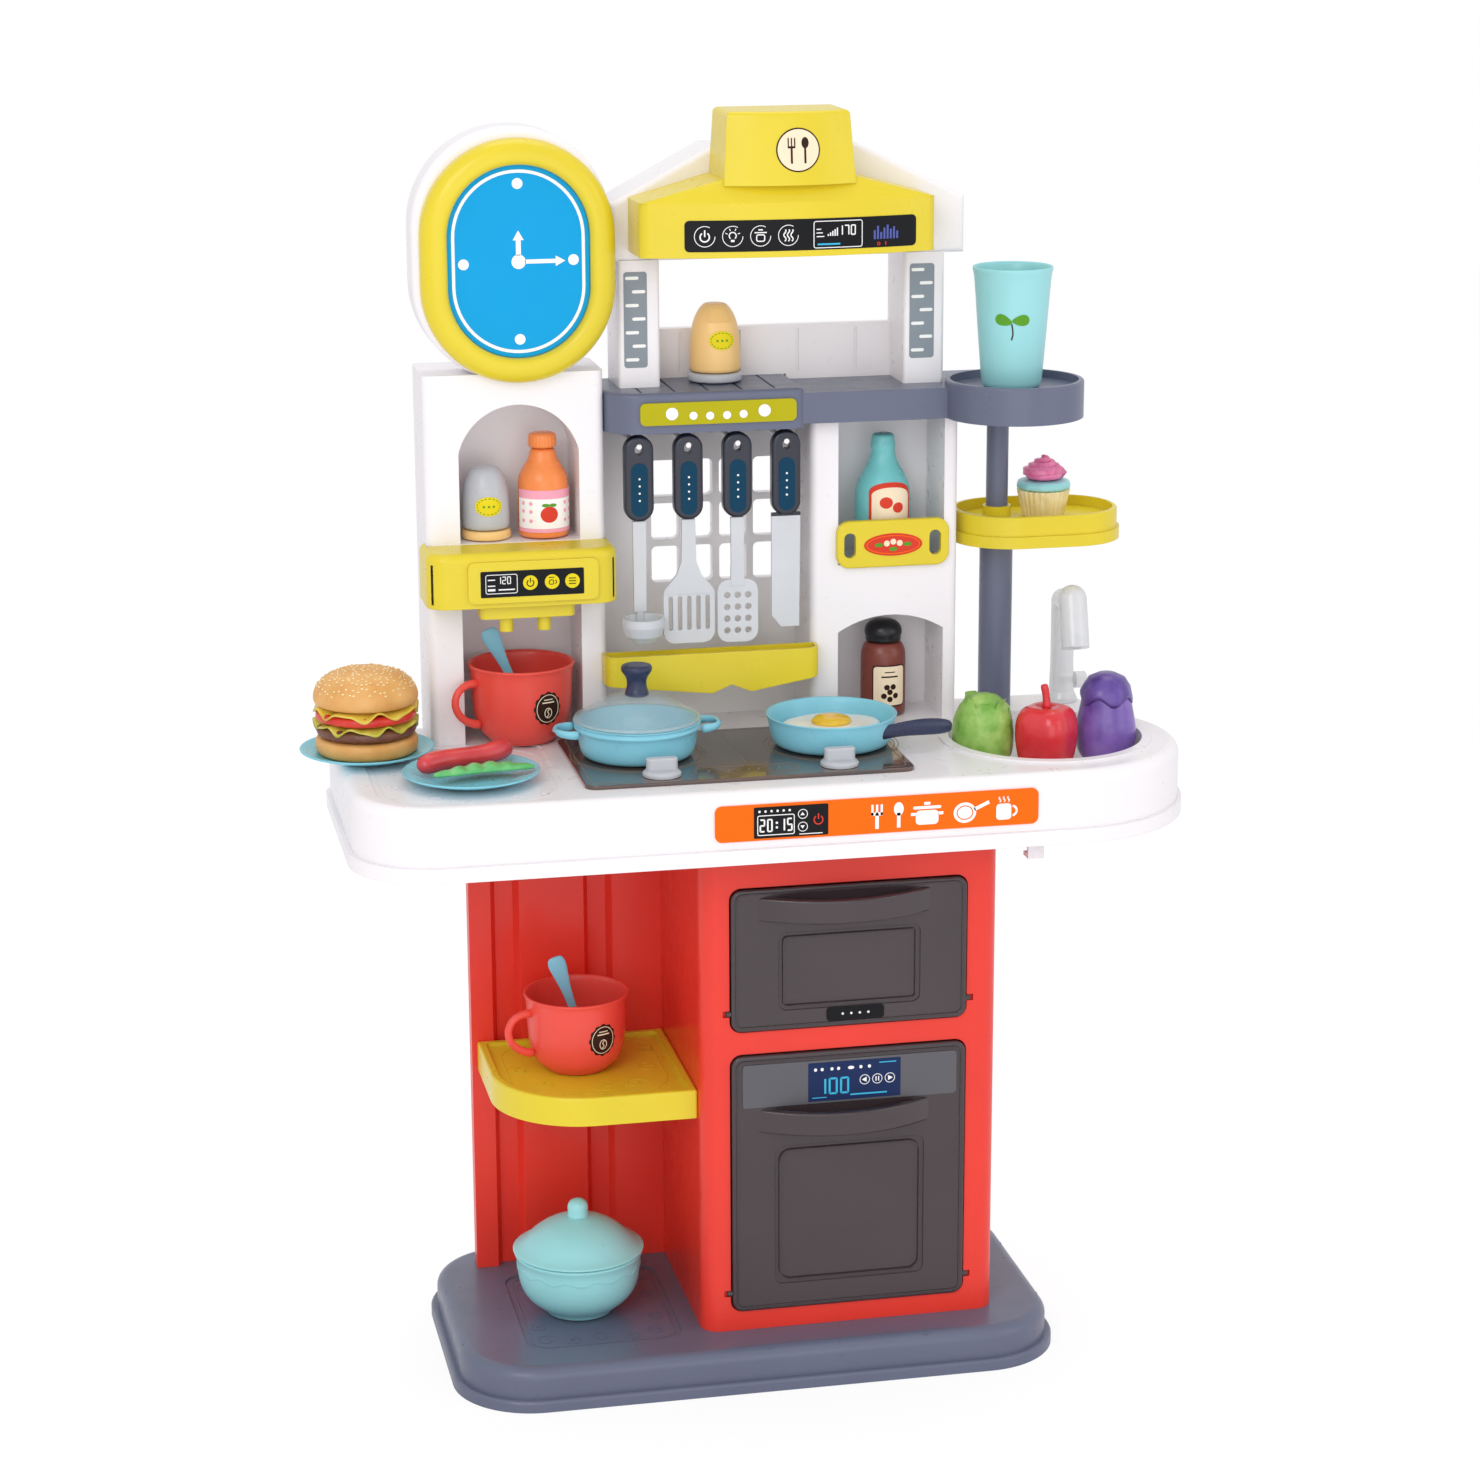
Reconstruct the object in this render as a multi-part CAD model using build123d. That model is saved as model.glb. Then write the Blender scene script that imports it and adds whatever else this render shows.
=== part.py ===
from build123d import *
from math import cos, radians, sin, sqrt
import os

os.makedirs("parts", exist_ok=True)

# Play kitchen, millimetres, +Z up, front faces -Y, origin on the floor under the middle of the base.

# Shared wall thickness of the moulded plastic and the small gaps between bodies.
wall = 3.0
body_gap = 0.3
running_fit = 0.06
swing_gap = 1.0

# Base tray.
base_width = 462.0
base_depth = 252.0
base_height = 32.0
base_corner = 62.0
base_flange = 9.0
base_step = 5.0
base_round = 9.0

# Cabinet.
cabinet_left = -43.5
cabinet_right = 182.0
cabinet_front = -83.0
cabinet_back = 91.0
cabinet_top = 430.0
cabinet_corner = 14.0
cavity_back = 66.0

# Doors of the cabinet.
door_width = 178.0
door_middle = 67.6
door_depth = 8.0
door_corner = 8.0
door_proud = 3.0
oven_bottom = 48.0
oven_height = 202.0
microwave_bottom = 269.0
microwave_height = 109.0
hinge_height = 14.0
hinge_radius = 2.5
hinge_length = 5.0
handle_width = 131.0
handle_reach = 20.0
handle_tall = 18.0

# Ribbed side wall and side shelf.
rib_left = -193.0
rib_front = 76.0
rib_depth = 8.0
side_shelf_top = 220.0
side_shelf_height = 22.0
side_shelf_left = -189.0
side_shelf_front = -67.0
side_shelf_corner = 70.0

# Countertop.
counter_top = 465.0
counter_bottom = 412.0
counter_left = -297.0
counter_front = -133.0
counter_back = 112.0
counter_corner = 62.0
counter_round = 9.0
counter_band = 11.0
counter_lip = 3.0
sink_x = 232.0
sink_y = -25.0
sink_radius = 77.0
sink_depth = 27.0
counter_end_radius = 106.0
counter_tail = 300.0

# Hob and its two knobs.
hob_left = -129.0
hob_right = 113.0
hob_front = -102.0
hob_back = 38.0
hob_thickness = 3.0
knob_y = -83.0
knob_left_x = -71.0
knob_right_x = 60.0
knob_radius = 14.0
knob_shaft = 3.0

# Left tower with the clock head.
tower_left = -221.0
tower_right = -88.0
wall_front = 45.0
tower_top = 742.0
niche_left = -196.0
niche_right = -107.0
niche_floor = 617.0
niche_spring = 684.0
niche_back = 98.0
bay_top = 574.0
head_x = -150.0
head_z = 828.0
head_width = 146.0
head_shift = -3.0
head_height = 184.0
head_back = 78.0
ring_width = 142.0
ring_height = 176.0
ring_tube = 26.0
face_width = 104.0
face_height = 139.0

# Coffee unit.
coffee_left = -225.0
coffee_right = -84.0
coffee_front = 9.0
coffee_bottom = 576.0
coffee_top = 616.7
nozzle_radius = 5.0

# Middle panel with the grid window.
grid_left = -44.0
grid_right = 56.0
grid_bottom = 570.0
grid_top = 664.0
grid_bar = 5.0

# Right column.
column_left = 68.0
column_right = 182.0
column_top = 699.0
recess_left = 89.0
recess_right = 171.0
recess_bottom = 588.0
lower_niche_top = 548.0

# Long top shelf with the round tray end.
shelf_top = 726.0
shelf_low = 722.0
shelf_bottom = 699.0
shelf_front = 29.0
shelf_hump_right = 60.0
tray_x = 221.0
tray_y = 33.0
tray_radius = 52.0
tray_rim = 4.0

# House frame above the shelf.
house_left = -79.0
house_right = 188.0
house_front = 58.0
house_back = 110.0
leg_width = 31.0
leg_left = -74.0
leg_right = 173.0
eave_bottom = 819.0
eave_top = 861.0
ridge_top = 901.0
sill_top = 763.0

# Hood and chimney.
hood_left = -66.0
hood_right = 153.0
hood_bottom = 827.0
hood_side_top = 866.0
hood_front = -6.0
hood_bow = 16.0
chimney_left = -5.0
chimney_right = 90.0
chimney_top = 930.0
chimney_base = 882.0

# Pole, its swivelling shelf and the tap.
pole_x = 221.0
pole_y = 76.0
pole_lower_radius = 12.7
pole_upper_radius = 8.4
pole_shelf_top = 621.0
pole_shelf_height = 24.0
pole_shelf_length = 127.0
pole_shelf_width = 88.0
pole_shelf_x = 251.0
tap_x = 276.0
tap_y = 78.0
tap_radius = 9.0
tap_top = 560.0
tap_reach = 46.0
tap_knob_z = 481.0
tap_knob_stub = 2.5

# Utensils on their pegs.
peg_z = 686.0
peg_radius = 2.0
utensil_y = 38.0
utensil_pitch = 37.0
utensil_first = -64.0
handle_length = 64.0
handle_wide = 22.0
ladle_radius = 16.0

bin_front = 25.5

# Pots, cups and plates.
pot_x = -78.0
pot_y = -23.0
pot_radius = 46.0
pot_height = 27.0
pan_x = 68.0
pan_y = -23.0
pan_radius = 48.0
cup_radius = 40.0
cup_height = 60.0
counter_cup_x = -152.0
counter_cup_y = 52.0
shelf_cup_x = -121.0
shelf_cup_y = 13.0
plate_radius = 50.0
burger_x = -271.0
burger_y = 27.0
serving_x = -205.0
serving_y = -55.0
tureen_x = -127.0
tureen_y = -16.0
tureen_radius = 49.0


def block(x0, x1, y0, y1, z0, z1):
    # Box given by its limits.
    size = Box(x1 - x0, y1 - y0, z1 - z0)
    return Pos((x0 + x1) / 2, (y0 + y1) / 2, (z0 + z1) / 2) * size


def upright(x0, x1, y0, y1, z0, z1, corner):
    # Box with its four vertical edges rounded.
    outline = RectangleRounded(x1 - x0, y1 - y0, corner)
    return Pos((x0 + x1) / 2, (y0 + y1) / 2, z0) * extrude(outline, z1 - z0)


def facing(x0, x1, z0, z1, y0, y1, corner):
    # Box whose corners are rounded as seen from the front.
    outline = RectangleRounded(x1 - x0, z1 - z0, corner)
    solid = extrude(Plane.XZ * outline, y1 - y0)
    return Pos((x0 + x1) / 2, y1, (z0 + z1) / 2) * solid


def turned(points, x, y, z):
    # Solid of revolution about a vertical axis from (radius, height) points.
    section = Plane.XZ * make_face(Polyline(*points, close=True))
    return Pos(x, y, z) * revolve(section, Axis.Z)


def rod(radius, start, length, direction):
    # Round bar from a start point along a direction.
    plane = Plane(origin=start, z_dir=direction)
    return extrude(plane * Circle(radius), length)


def save(shape, name):
    # Write one node as a STEP file.
    export_step(shape, "parts/" + name + ".step")


def base_tray():
    flange = extrude(RectangleRounded(base_width, base_depth, base_corner), base_flange)
    flange = fillet(flange.edges().group_by(Axis.Z)[-1], 2.5)
    inner_width = base_width - 2 * base_step
    inner_depth = base_depth - 2 * base_step
    inner_corner = base_corner - base_step
    body = extrude(RectangleRounded(inner_width, inner_depth, inner_corner), base_height)
    body = fillet(body.edges().group_by(Axis.Z)[-1], base_round)
    hollow_width = inner_width - 2 * wall
    hollow_depth = inner_depth - 2 * wall
    hollow = extrude(RectangleRounded(hollow_width, hollow_depth, inner_corner - wall), base_height - wall)
    solid = flange + body - hollow
    for rib_x in (-120.0, 0.0, 120.0):
        solid += block(rib_x - 1.5, rib_x + 1.5, -hollow_depth / 2, hollow_depth / 2, 8.0, base_height - 1.5)
    for rib_y in (-60.0, 40.0):
        solid += block(-hollow_width / 2, hollow_width / 2, rib_y - 1.5, rib_y + 1.5, 8.0, base_height - 1.5)
    foot = rod(16.0, (0, 0, 0), base_height - 1.5, (0, 0, 1))
    foot = foot - rod(10.0, (0, 0, 3.0), base_height - 6.0, (0, 0, 1))
    recess = upright(-176.0, -58.0, -86.0, 56.0, base_height - 1.2, base_height + 5.0, 16.0)
    return solid + foot - recess


def cabinet_openings(margin):
    # The two door openings through the front wall, larger than the doors by a margin.
    left = door_middle - door_width / 2 - margin
    right = door_middle + door_width / 2 + margin
    front = cabinet_front - 10.0
    back = cabinet_front + 30.0
    low = oven_bottom - margin
    high = oven_bottom + oven_height + margin
    oven = facing(left, right, low, high, front, back, door_corner + margin)
    low = microwave_bottom - margin
    high = microwave_bottom + microwave_height + margin
    microwave = facing(left, right, low, high, front, back, door_corner + margin)
    return oven + microwave


def hinge_y():
    return cabinet_front - door_proud + door_depth / 2


def cabinet_shell():
    left = cabinet_left
    right = cabinet_right
    outer = upright(left, right, cabinet_front, cabinet_back, base_height, cabinet_top, cabinet_corner)
    back_trim = block(left, right, cabinet_back - 20.0, cabinet_back, base_height, cabinet_top)
    outer = outer + back_trim
    room = upright(left + wall, right - wall, cabinet_front + wall, cabinet_back + 40.0,
                   base_height + wall, cabinet_top - wall, cabinet_corner - wall)
    room = room + block(left + wall, right - wall, 0.0, cabinet_back + 1.0,
                        base_height + wall, cabinet_top - wall)
    shell = outer - room
    liner_front = cabinet_front + wall
    liner = block(door_middle - 92.0, door_middle + 92.0, liner_front, cavity_back,
                  oven_bottom - 8.0, microwave_bottom + microwave_height + 10.0)
    liner_room = block(door_middle - 90.0, door_middle + 90.0, liner_front - 1.0, cavity_back - 2.0,
                       oven_bottom - 6.0, microwave_bottom + microwave_height + 8.0)
    shell = shell + (liner - liner_room)
    shell = shell - cabinet_openings(swing_gap)
    for low in (oven_bottom, microwave_bottom):
        hole = rod(hinge_radius + running_fit, (door_middle - 95.0, hinge_y(), low + hinge_height),
                   190.0, (1, 0, 0))
        boss_left = door_middle - door_width / 2 - swing_gap
        boss_right = door_middle + door_width / 2 + swing_gap
        y0 = cabinet_front
        y1 = cabinet_front + 11.0
        z0 = low + hinge_height - 6.0
        z1 = low + hinge_height + 6.0
        shell = shell + block(boss_left - 6.0, boss_left, y0, y1, z0, z1)
        shell = shell + block(boss_right, boss_right + 6.0, y0, y1, z0, z1)
        shell = shell - hole
    for x, edge in ((cabinet_left + 12.0, left + wall), (cabinet_right - 12.0, right - wall)):
        for z in (50.0, 230.0, 410.0):
            post = block(min(x - 4.0, edge), max(x + 4.0, edge), cabinet_back - 15.0, cabinet_back - 3.0,
                         z - 4.0, z + 4.0)
            shell = shell + post - rod(1.5, (x, cabinet_back - 11.0, z), 12.0, (0, 1, 0))
    return shell


def cavity_shelf():
    middle = (oven_bottom + oven_height + microwave_bottom) / 2
    return block(door_middle - 90.0, door_middle + 90.0, cabinet_front + wall, cavity_back - 2.0,
                 middle - 2.5, middle + 2.5)


def rear_cover():
    plate = block(cabinet_left + wall, cabinet_right - wall, cabinet_back - 3.0, cabinet_back,
                  base_height + wall, cabinet_top - wall)
    for row in range(6):
        z = 110.0 + row * 10.0
        plate = plate - facing(20.0, 120.0, z, z + 4.0, cabinet_back - 5.0, cabinet_back + 2.0, 1.9)
    for x in (cabinet_left + 12.0, cabinet_right - 12.0):
        for z in (50.0, 230.0, 410.0):
            plate = plate - rod(1.7, (x, cabinet_back - 4.0, z), 8.0, (0, 1, 0))
    return plate


def door_shell(bottom, height, window):
    left = door_middle - door_width / 2
    right = door_middle + door_width / 2
    front = cabinet_front - door_proud
    back = front + door_depth
    plate = facing(left, right, bottom, bottom + height, front, back, door_corner)
    plate = fillet(plate.faces().sort_by(Axis.Y)[0].edges(), 1.6)
    pocket = facing(left + 3.0, right - 3.0, bottom + 3.0, bottom + height - 3.0, front + 3.0, back + 1.0,
                    door_corner - 3.0)
    plate = plate - pocket
    frame = facing(window[0], window[1], window[2], window[3], front - 1.0, front + 1.2, 6.0)
    plate = plate - frame
    for side in (-1, 1):
        start = door_middle + side * (door_width / 2 - 3.0)
        plate = plate + rod(hinge_radius, (start, hinge_y(), bottom + hinge_height), hinge_length + 1.5,
                            (side, 0, 0))
        web_low = bottom + hinge_height - 4.0
        web_high = bottom + hinge_height + 4.0
        x0 = min(start, start - side * 4.0)
        x1 = max(start, start - side * 4.0)
        plate = plate + block(x0, x1, front + 2.0, back, web_low, web_high)
    return plate


def handle(bottom_z, reach):
    # Bowed grip bar, open behind so a hand goes round it.
    front = cabinet_front - door_proud
    half = handle_width / 2
    outer = ThreePointArc((-half, 0.5), (0, -reach), (half, 0.5))
    inner = ThreePointArc((-half + 12.0, 0.5), (0, -reach + 5.0), (half - 12.0, 0.5))
    left = Line((-half, 0.5), (-half + 12.0, 0.5))
    right = Line((half, 0.5), (half - 12.0, 0.5))
    bar = extrude(make_face([outer, inner, left, right]), handle_tall)
    bar = Pos(door_middle - 4.0, front, bottom_z) * bar
    return fillet(bar.edges().filter_by(Axis.Z, reverse=True), 1.5)


def microwave_door():
    window = (14.0, 121.0, 284.0, 344.0)
    return door_shell(microwave_bottom, microwave_height, window) + handle(354.0, handle_reach)


def oven_door():
    window = (11.0, 125.0, 68.0, 178.0)
    return door_shell(oven_bottom, oven_height, window) + handle(190.0, handle_reach)


def ribbed_panel():
    y = rib_front
    deep = rib_front + rib_depth
    points = [(rib_left, y), (-176.0, y), (-172.0, deep), (-158.0, deep), (-154.0, y), (-104.0, y),
              (-100.0, deep), (-86.0, deep), (-82.0, y), (cabinet_left, y), (cabinet_left, y + wall),
              (-80.0, y + wall), (-84.0, deep + wall), (-102.0, deep + wall), (-106.0, y + wall),
              (-152.0, y + wall), (-156.0, deep + wall), (-174.0, deep + wall), (-178.0, y + wall),
              (rib_left, y + wall)]
    sheet = extrude(make_face(Polyline(*points, close=True)), counter_top - wall - base_height)
    sheet = Pos(0, 0, base_height) * sheet
    edge = upright(rib_left, rib_left + 12.0, y, y + 15.0, base_height, counter_top - wall, 2.0)
    return sheet + edge


def side_shelf():
    low = side_shelf_top - side_shelf_height
    plan = rounded_plan(side_shelf_left, cabinet_left, side_shelf_front, rib_front,
                        side_shelf_corner, 2.0, 2.0, 2.0)
    outer = Pos(0, 0, low) * extrude(plan, side_shelf_height)
    outer = fillet(outer.edges().group_by(Axis.Z)[-1], 2.0)
    under_plan = rounded_plan(side_shelf_left + wall, cabinet_left - wall, side_shelf_front + wall,
                              rib_front - wall, side_shelf_corner - wall, 1.0, 1.0, 1.0)
    under = Pos(0, 0, low) * extrude(under_plan, side_shelf_height - 6.0)
    dish_plan = rounded_plan(side_shelf_left + 6.0, cabinet_left - 6.0, side_shelf_front + 6.0,
                             rib_front - 6.0, side_shelf_corner - 6.0, 4.0, 4.0, 4.0)
    dish = Pos(0, 0, side_shelf_top - 3.0) * extrude(dish_plan, 9.0)
    return outer - under - dish


def rounded_plan(x0, x1, y0, y1, front_left, front_right, back_right, back_left):
    # Flat rectangle whose four corners each have their own radius.
    shape = Pos((x0 + x1) / 2, (y0 + y1) / 2) * Rectangle(x1 - x0, y1 - y0)
    corners = ((x0, y0, front_left), (x1, y0, front_right), (x1, y1, back_right), (x0, y1, back_left))
    for x, y, radius in corners:
        if radius > 0:
            corner = shape.vertices().sort_by_distance((x, y, 0))[0]
            shape = fillet(corner, radius)
    return shape


def counter_plan(inset):
    # Outline of the worktop: straight front and back, round sink end and a short tail for the tap.
    x0 = counter_left
    x1 = counter_tail
    y0 = counter_front
    y1 = counter_back
    r = counter_corner
    end_x = sink_x - 4.0
    end_y = y0 + counter_end_radius
    turn = radians(40.0)
    arc_x = end_x + counter_end_radius * cos(turn)
    arc_y = end_y + counter_end_radius * sin(turn)
    bulge = 1.0 - sqrt(0.5)
    rear_corner = 24.0
    front_corner = ThreePointArc((x0, y0 + r), (x0 + bulge * r, y0 + bulge * r), (x0 + r, y0))
    front = Line((x0 + r, y0), (end_x, y0))
    side_x = end_x + counter_end_radius * cos(radians(-20.0))
    side_y = end_y + counter_end_radius * sin(radians(-20.0))
    end = ThreePointArc((end_x, y0), (side_x, side_y), (arc_x, arc_y))
    waist = TangentArc((arc_x, arc_y), (x1, 62.0), tangent=(-sin(turn), cos(turn)))
    tail_side = Line((x1, 62.0), (x1, y1 - rear_corner))
    cut = bulge * rear_corner
    tail_corner = ThreePointArc((x1, y1 - rear_corner), (x1 - cut, y1 - cut), (x1 - rear_corner, y1))
    back = Line((x1 - rear_corner, y1), (x0 + rear_corner, y1))
    back_corner = ThreePointArc((x0 + rear_corner, y1), (x0 + cut, y1 - cut), (x0, y1 - rear_corner))
    side = Line((x0, y1 - rear_corner), (x0, y0 + r))
    outline = make_face([front_corner, front, end, waist, tail_side, tail_corner, back, back_corner, side])
    if inset > 0:
        outline = offset(outline, -inset)
    return outline


def countertop():
    height = counter_top - counter_bottom
    outer = Pos(0, 0, counter_bottom) * extrude(counter_plan(counter_lip), height)
    outer = fillet(outer.edges().group_by(Axis.Z)[-1], counter_round)
    band = Pos(0, 0, counter_bottom) * extrude(counter_plan(0.0), counter_band)
    body = outer + band
    room = Pos(0, 0, counter_bottom) * extrude(counter_plan(counter_lip + wall), height - wall)
    body = body - room
    ribs = block(cabinet_left, cabinet_right, cabinet_front, cabinet_back, cabinet_top, counter_top - 1.0)
    ribs = ribs - block(cabinet_left + wall, cabinet_right - wall, cabinet_front + wall,
                        cabinet_back - wall, cabinet_top - 1.0, counter_top)
    keep = Pos(0, 0, counter_bottom) * extrude(counter_plan(counter_lip + 1.0), height - 1.0)
    sink_room = Pos(sink_x, sink_y, cabinet_top - 2.0) * extrude(Circle(sink_radius + 5.0), 60.0)
    body = body + ((ribs & keep) - sink_room)
    bowl = Pos(sink_x, sink_y, counter_top - 20.0) * extrude(Circle(sink_radius), 40.0)
    body = body - bowl
    tray_plan = rounded_plan(-276.0, -142.0, -118.0, 36.0, 44.0, 12.0, 12.0, 12.0)
    body = body - Pos(0, 0, counter_top - 1.0) * extrude(tray_plan, 9.0)
    for x in (knob_left_x, knob_right_x):
        body = body - rod(knob_shaft + running_fit, (x, knob_y, counter_top - 10.0), 20.0, (0, 0, 1))
    body = body - rod(tap_radius - 3.0 + running_fit, (tap_x, tap_y, counter_top - 12.0), 24.0, (0, 0, 1))
    return body


def sink_basin():
    r = sink_radius - 0.0
    profile = [(0, -sink_depth), (r - 8.0, -sink_depth), (r - 3.0, -sink_depth + 4.0), (r - 2.0, 0.0),
               (r + 3.0, 0.0), (r + 3.0, 1.6), (r - 4.5, 1.6), (r - 5.5, -sink_depth + 6.0),
               (r - 9.0, -sink_depth + 2.4), (0, -sink_depth + 2.4)]
    bowl = turned(profile, sink_x, sink_y, counter_top)
    for column in range(-2, 3):
        for row in range(-2, 3):
            hole = rod(1.8, (sink_x + column * 7.0, sink_y + row * 7.0, counter_top - sink_depth - 2.0),
                       6.0, (0, 0, 1))
            bowl = bowl - hole
    return bowl


def pump_unit():
    # Pump body under the sink, its outlet tube to the tap foot, and the feed tube.
    top = counter_top - sink_depth
    body = Pos(sink_x, sink_y, top - 12.0) * extrude(Circle(24.0), 12.0)
    body = body + rod(9.0, (sink_x, sink_y, top - 20.0), 9.0, (0, 0, 1))
    low = top - 7.0
    points = [(sink_x + 18.0, sink_y + 6.0, low), (tap_x - 8.0, tap_y - 30.0, low), (tap_x, tap_y, low),
              (tap_x, tap_y, counter_top - wall - 14.0)]
    for start, end in zip(points, points[1:]):
        run = Vector(*end) - Vector(*start)
        body = body + rod(2.5, start, run.length, (run.X, run.Y, run.Z)) + Pos(*end) * Sphere(2.5)
    return body


def battery_box():
    x0 = -205.0
    x1 = -125.0
    y0 = -75.0
    y1 = 5.0
    box = upright(x0, x1, y0, y1, 424.0, counter_top - wall, 4.0)
    room = upright(x0 + 2.0, x1 - 2.0, y0 + 2.0, y1 - 2.0, 423.0, counter_top - wall - 3.0, 2.5)
    box = box - room
    for cell in range(3):
        x = x0 + 16.0 + cell * 24.0
        cell_body = rod(7.1, (x, y0 + 12.0, 447.0), 50.0, (0, 1, 0))
        rail = block(x - 3.0, x + 3.0, y0 + 14.0, y1 - 14.0, 448.0, counter_top - wall - 2.0)
        box = box + cell_body + rail
    for x in (x0 + 7.0, x1 - 7.0):
        post = block(x - 5.5, x + 5.5, -39.0, -31.0, 424.0, 434.0)
        box = box + post - rod(1.5, (x, -35.0, 423.0), 9.5, (0, 0, 1))
    return box


def battery_cover():
    plate = upright(-205.0, -125.0, -75.0, 5.0, 421.5, 424.0, 4.0)
    for x in (-198.0, -132.0):
        plate = plate - rod(1.7, (x, -35.0, 420.0), 6.0, (0, 0, 1))
    return plate


def sound_module():
    y0 = counter_front + counter_lip + wall
    box = block(-12.0, 40.0, y0, y0 + 14.0, 430.0, 455.0)
    cone = rod(11.0, (14.0, y0 + 14.0, 442.5), 3.0, (0, 1, 0))
    return box + cone


def hob_plate():
    plate = upright(hob_left, hob_right, hob_front, hob_back, counter_top, counter_top + hob_thickness, 9.0)
    plate = fillet(plate.faces().sort_by(Axis.Z)[-1].edges(), 1.2)
    for x in (pot_x, pan_x):
        ring = Circle(33.0) - Circle(31.0)
        groove = Pos(x, pot_y, counter_top + hob_thickness - 0.5) * extrude(ring, 2.0)
        plate = plate - groove
    for x in (knob_left_x, knob_right_x):
        plate = plate - rod(knob_shaft + running_fit, (x, knob_y, counter_top - 1.0), 8.0, (0, 0, 1))
    return plate


def hob_knob(x):
    seat = counter_top + hob_thickness + body_gap
    skirt = turned([(0, 0), (knob_radius, 0), (knob_radius, 2.0), (knob_radius - 2.0, 4.0), (0, 4.0)],
                   x, knob_y, seat)
    grip = Pos(x, knob_y, seat + 3.5) * extrude(RectangleRounded(23.0, 8.0, 3.9), 9.5)
    grip = fillet(grip.faces().sort_by(Axis.Z)[-1].edges(), 1.5)
    shaft = rod(knob_shaft, (x, knob_y, counter_top - 9.0), seat - counter_top + 10.0, (0, 0, 1))
    return skirt + grip + shaft


def control_strip():
    y1 = counter_front + counter_lip
    return facing(-42.0, 196.0, 429.0, 455.5, y1 - 1.6, y1, 5.0)


def flat_arch_cut(left, right, floor, top, rise, y0, y1):
    # Opening with straight sides and a low curved top.
    points = Polyline((left, top - rise), (left, floor), (right, floor), (right, top - rise))
    arc = ThreePointArc((right, top - rise), ((left + right) / 2, top), (left, top - rise))
    outline = make_face([*points.edges(), arc])
    return Pos(0, y1, 0) * extrude(Plane.XZ * outline, y1 - y0)


def tower_shell():
    outer = upright(tower_left, tower_right, wall_front, counter_back, counter_top, tower_top, 6.0)
    room = block(tower_left + wall, tower_right - wall, wall_front + wall, counter_back + 1.0,
                 counter_top + wall, tower_top - wall)
    shell = outer - room
    board_x = head_x + head_shift
    head = facing(board_x - head_width / 2, board_x + head_width / 2, head_z - head_height / 2,
                  head_z + head_height / 2, wall_front, head_back, head_width / 2 - 1.0)
    head = fillet(head.faces().sort_by(Axis.Y)[0].edges(), 6.0)
    pocket = facing(board_x - head_width / 2 + wall, board_x + head_width / 2 - wall,
                    head_z - head_height / 2 + wall, head_z + head_height / 2 - wall,
                    wall_front + wall + 3.0, head_back + 1.0, head_width / 2 - 1.0 - wall)
    shell = shell + head
    shell = shell - (pocket - block(tower_left, tower_right, wall_front, head_back + 2.0, 730.0, tower_top))
    niche_liner = flat_arch_cut(niche_left - wall, niche_right + wall, niche_floor - wall, 722.0, 35.0,
                                wall_front + 1.0, niche_back + wall)
    bay_liner = block(niche_left - wall, niche_right + wall, wall_front + 1.0, niche_back + wall,
                      counter_top, bay_top + wall)
    shell = shell + niche_liner + bay_liner
    niche = flat_arch_cut(niche_left, niche_right, niche_floor, 719.0, 35.0, wall_front - 1.0, niche_back)
    bay = block(niche_left, niche_right, wall_front - 1.0, niche_back, counter_top - 1.0, bay_top)
    shell = shell - niche - bay
    return shell


def clock_ring():
    outer = facing(head_x - ring_width / 2, head_x + ring_width / 2, head_z - 4.0 - ring_height / 2,
                   head_z - 4.0 + ring_height / 2, wall_front - 16.0, wall_front, ring_width / 2 - 0.5)
    outer = fillet(outer.faces().sort_by(Axis.Y)[0].edges(), 11.0)
    inner = facing(head_x - face_width / 2, head_x + face_width / 2, head_z - 4.0 - face_height / 2,
                   head_z - 4.0 + face_height / 2, wall_front - 20.0, wall_front + 5.0, face_width / 2 - 0.5)
    ring = outer - inner
    inner_edges = ring.faces().sort_by(Axis.Y)[0].inner_wires()[0].edges()
    return fillet(inner_edges, 5.0)


def clock_face():
    gap = 0.3
    return facing(head_x - face_width / 2 + gap, head_x + face_width / 2 - gap,
                  head_z - 4.0 - face_height / 2 + gap, head_z - 4.0 + face_height / 2 - gap,
                  wall_front - 8.0, wall_front, face_width / 2 - 0.5 - gap)


def coffee_unit():
    front = upright(coffee_left, coffee_right, coffee_front, 80.0, coffee_bottom, coffee_top, 16.0)
    front = front - block(coffee_left - 1.0, coffee_right + 1.0, 60.0, 90.0, coffee_bottom - 1.0,
                          coffee_top + 1.0)
    front = fillet(front.faces().sort_by(Axis.Z)[-1].edges().sort_by(Axis.Y)[:3], 6.0)
    panel = facing(-196.0, -100.0, coffee_bottom + 4.0, coffee_top - 6.0, coffee_front - 3.0,
                   coffee_front + 4.0, 5.0)
    front = front + panel
    column = block(tower_left, tower_right, wall_front, 90.0, coffee_bottom - 1.0, coffee_top + 1.0)
    front = front - column
    room = block(coffee_left + wall, coffee_right - wall, coffee_front + wall + 2.0, wall_front + 1.0,
                 coffee_bottom + wall, coffee_top - wall - 5.0)
    return front - room


def nozzle_block():
    top = coffee_bottom
    body = block(-186.0, -116.0, 16.0, 42.0, top - 10.0, top)
    body = fillet(body.edges().filter_by(Axis.Z), 5.0)
    for x in (-166.0, -138.0):
        body = body + Pos(x, 26.0, top - 21.0) * extrude(Circle(nozzle_radius), 13.0)
        body = body - Pos(x, 26.0, top - 22.0) * extrude(Circle(2.5), 12.0)
    return body


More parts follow.
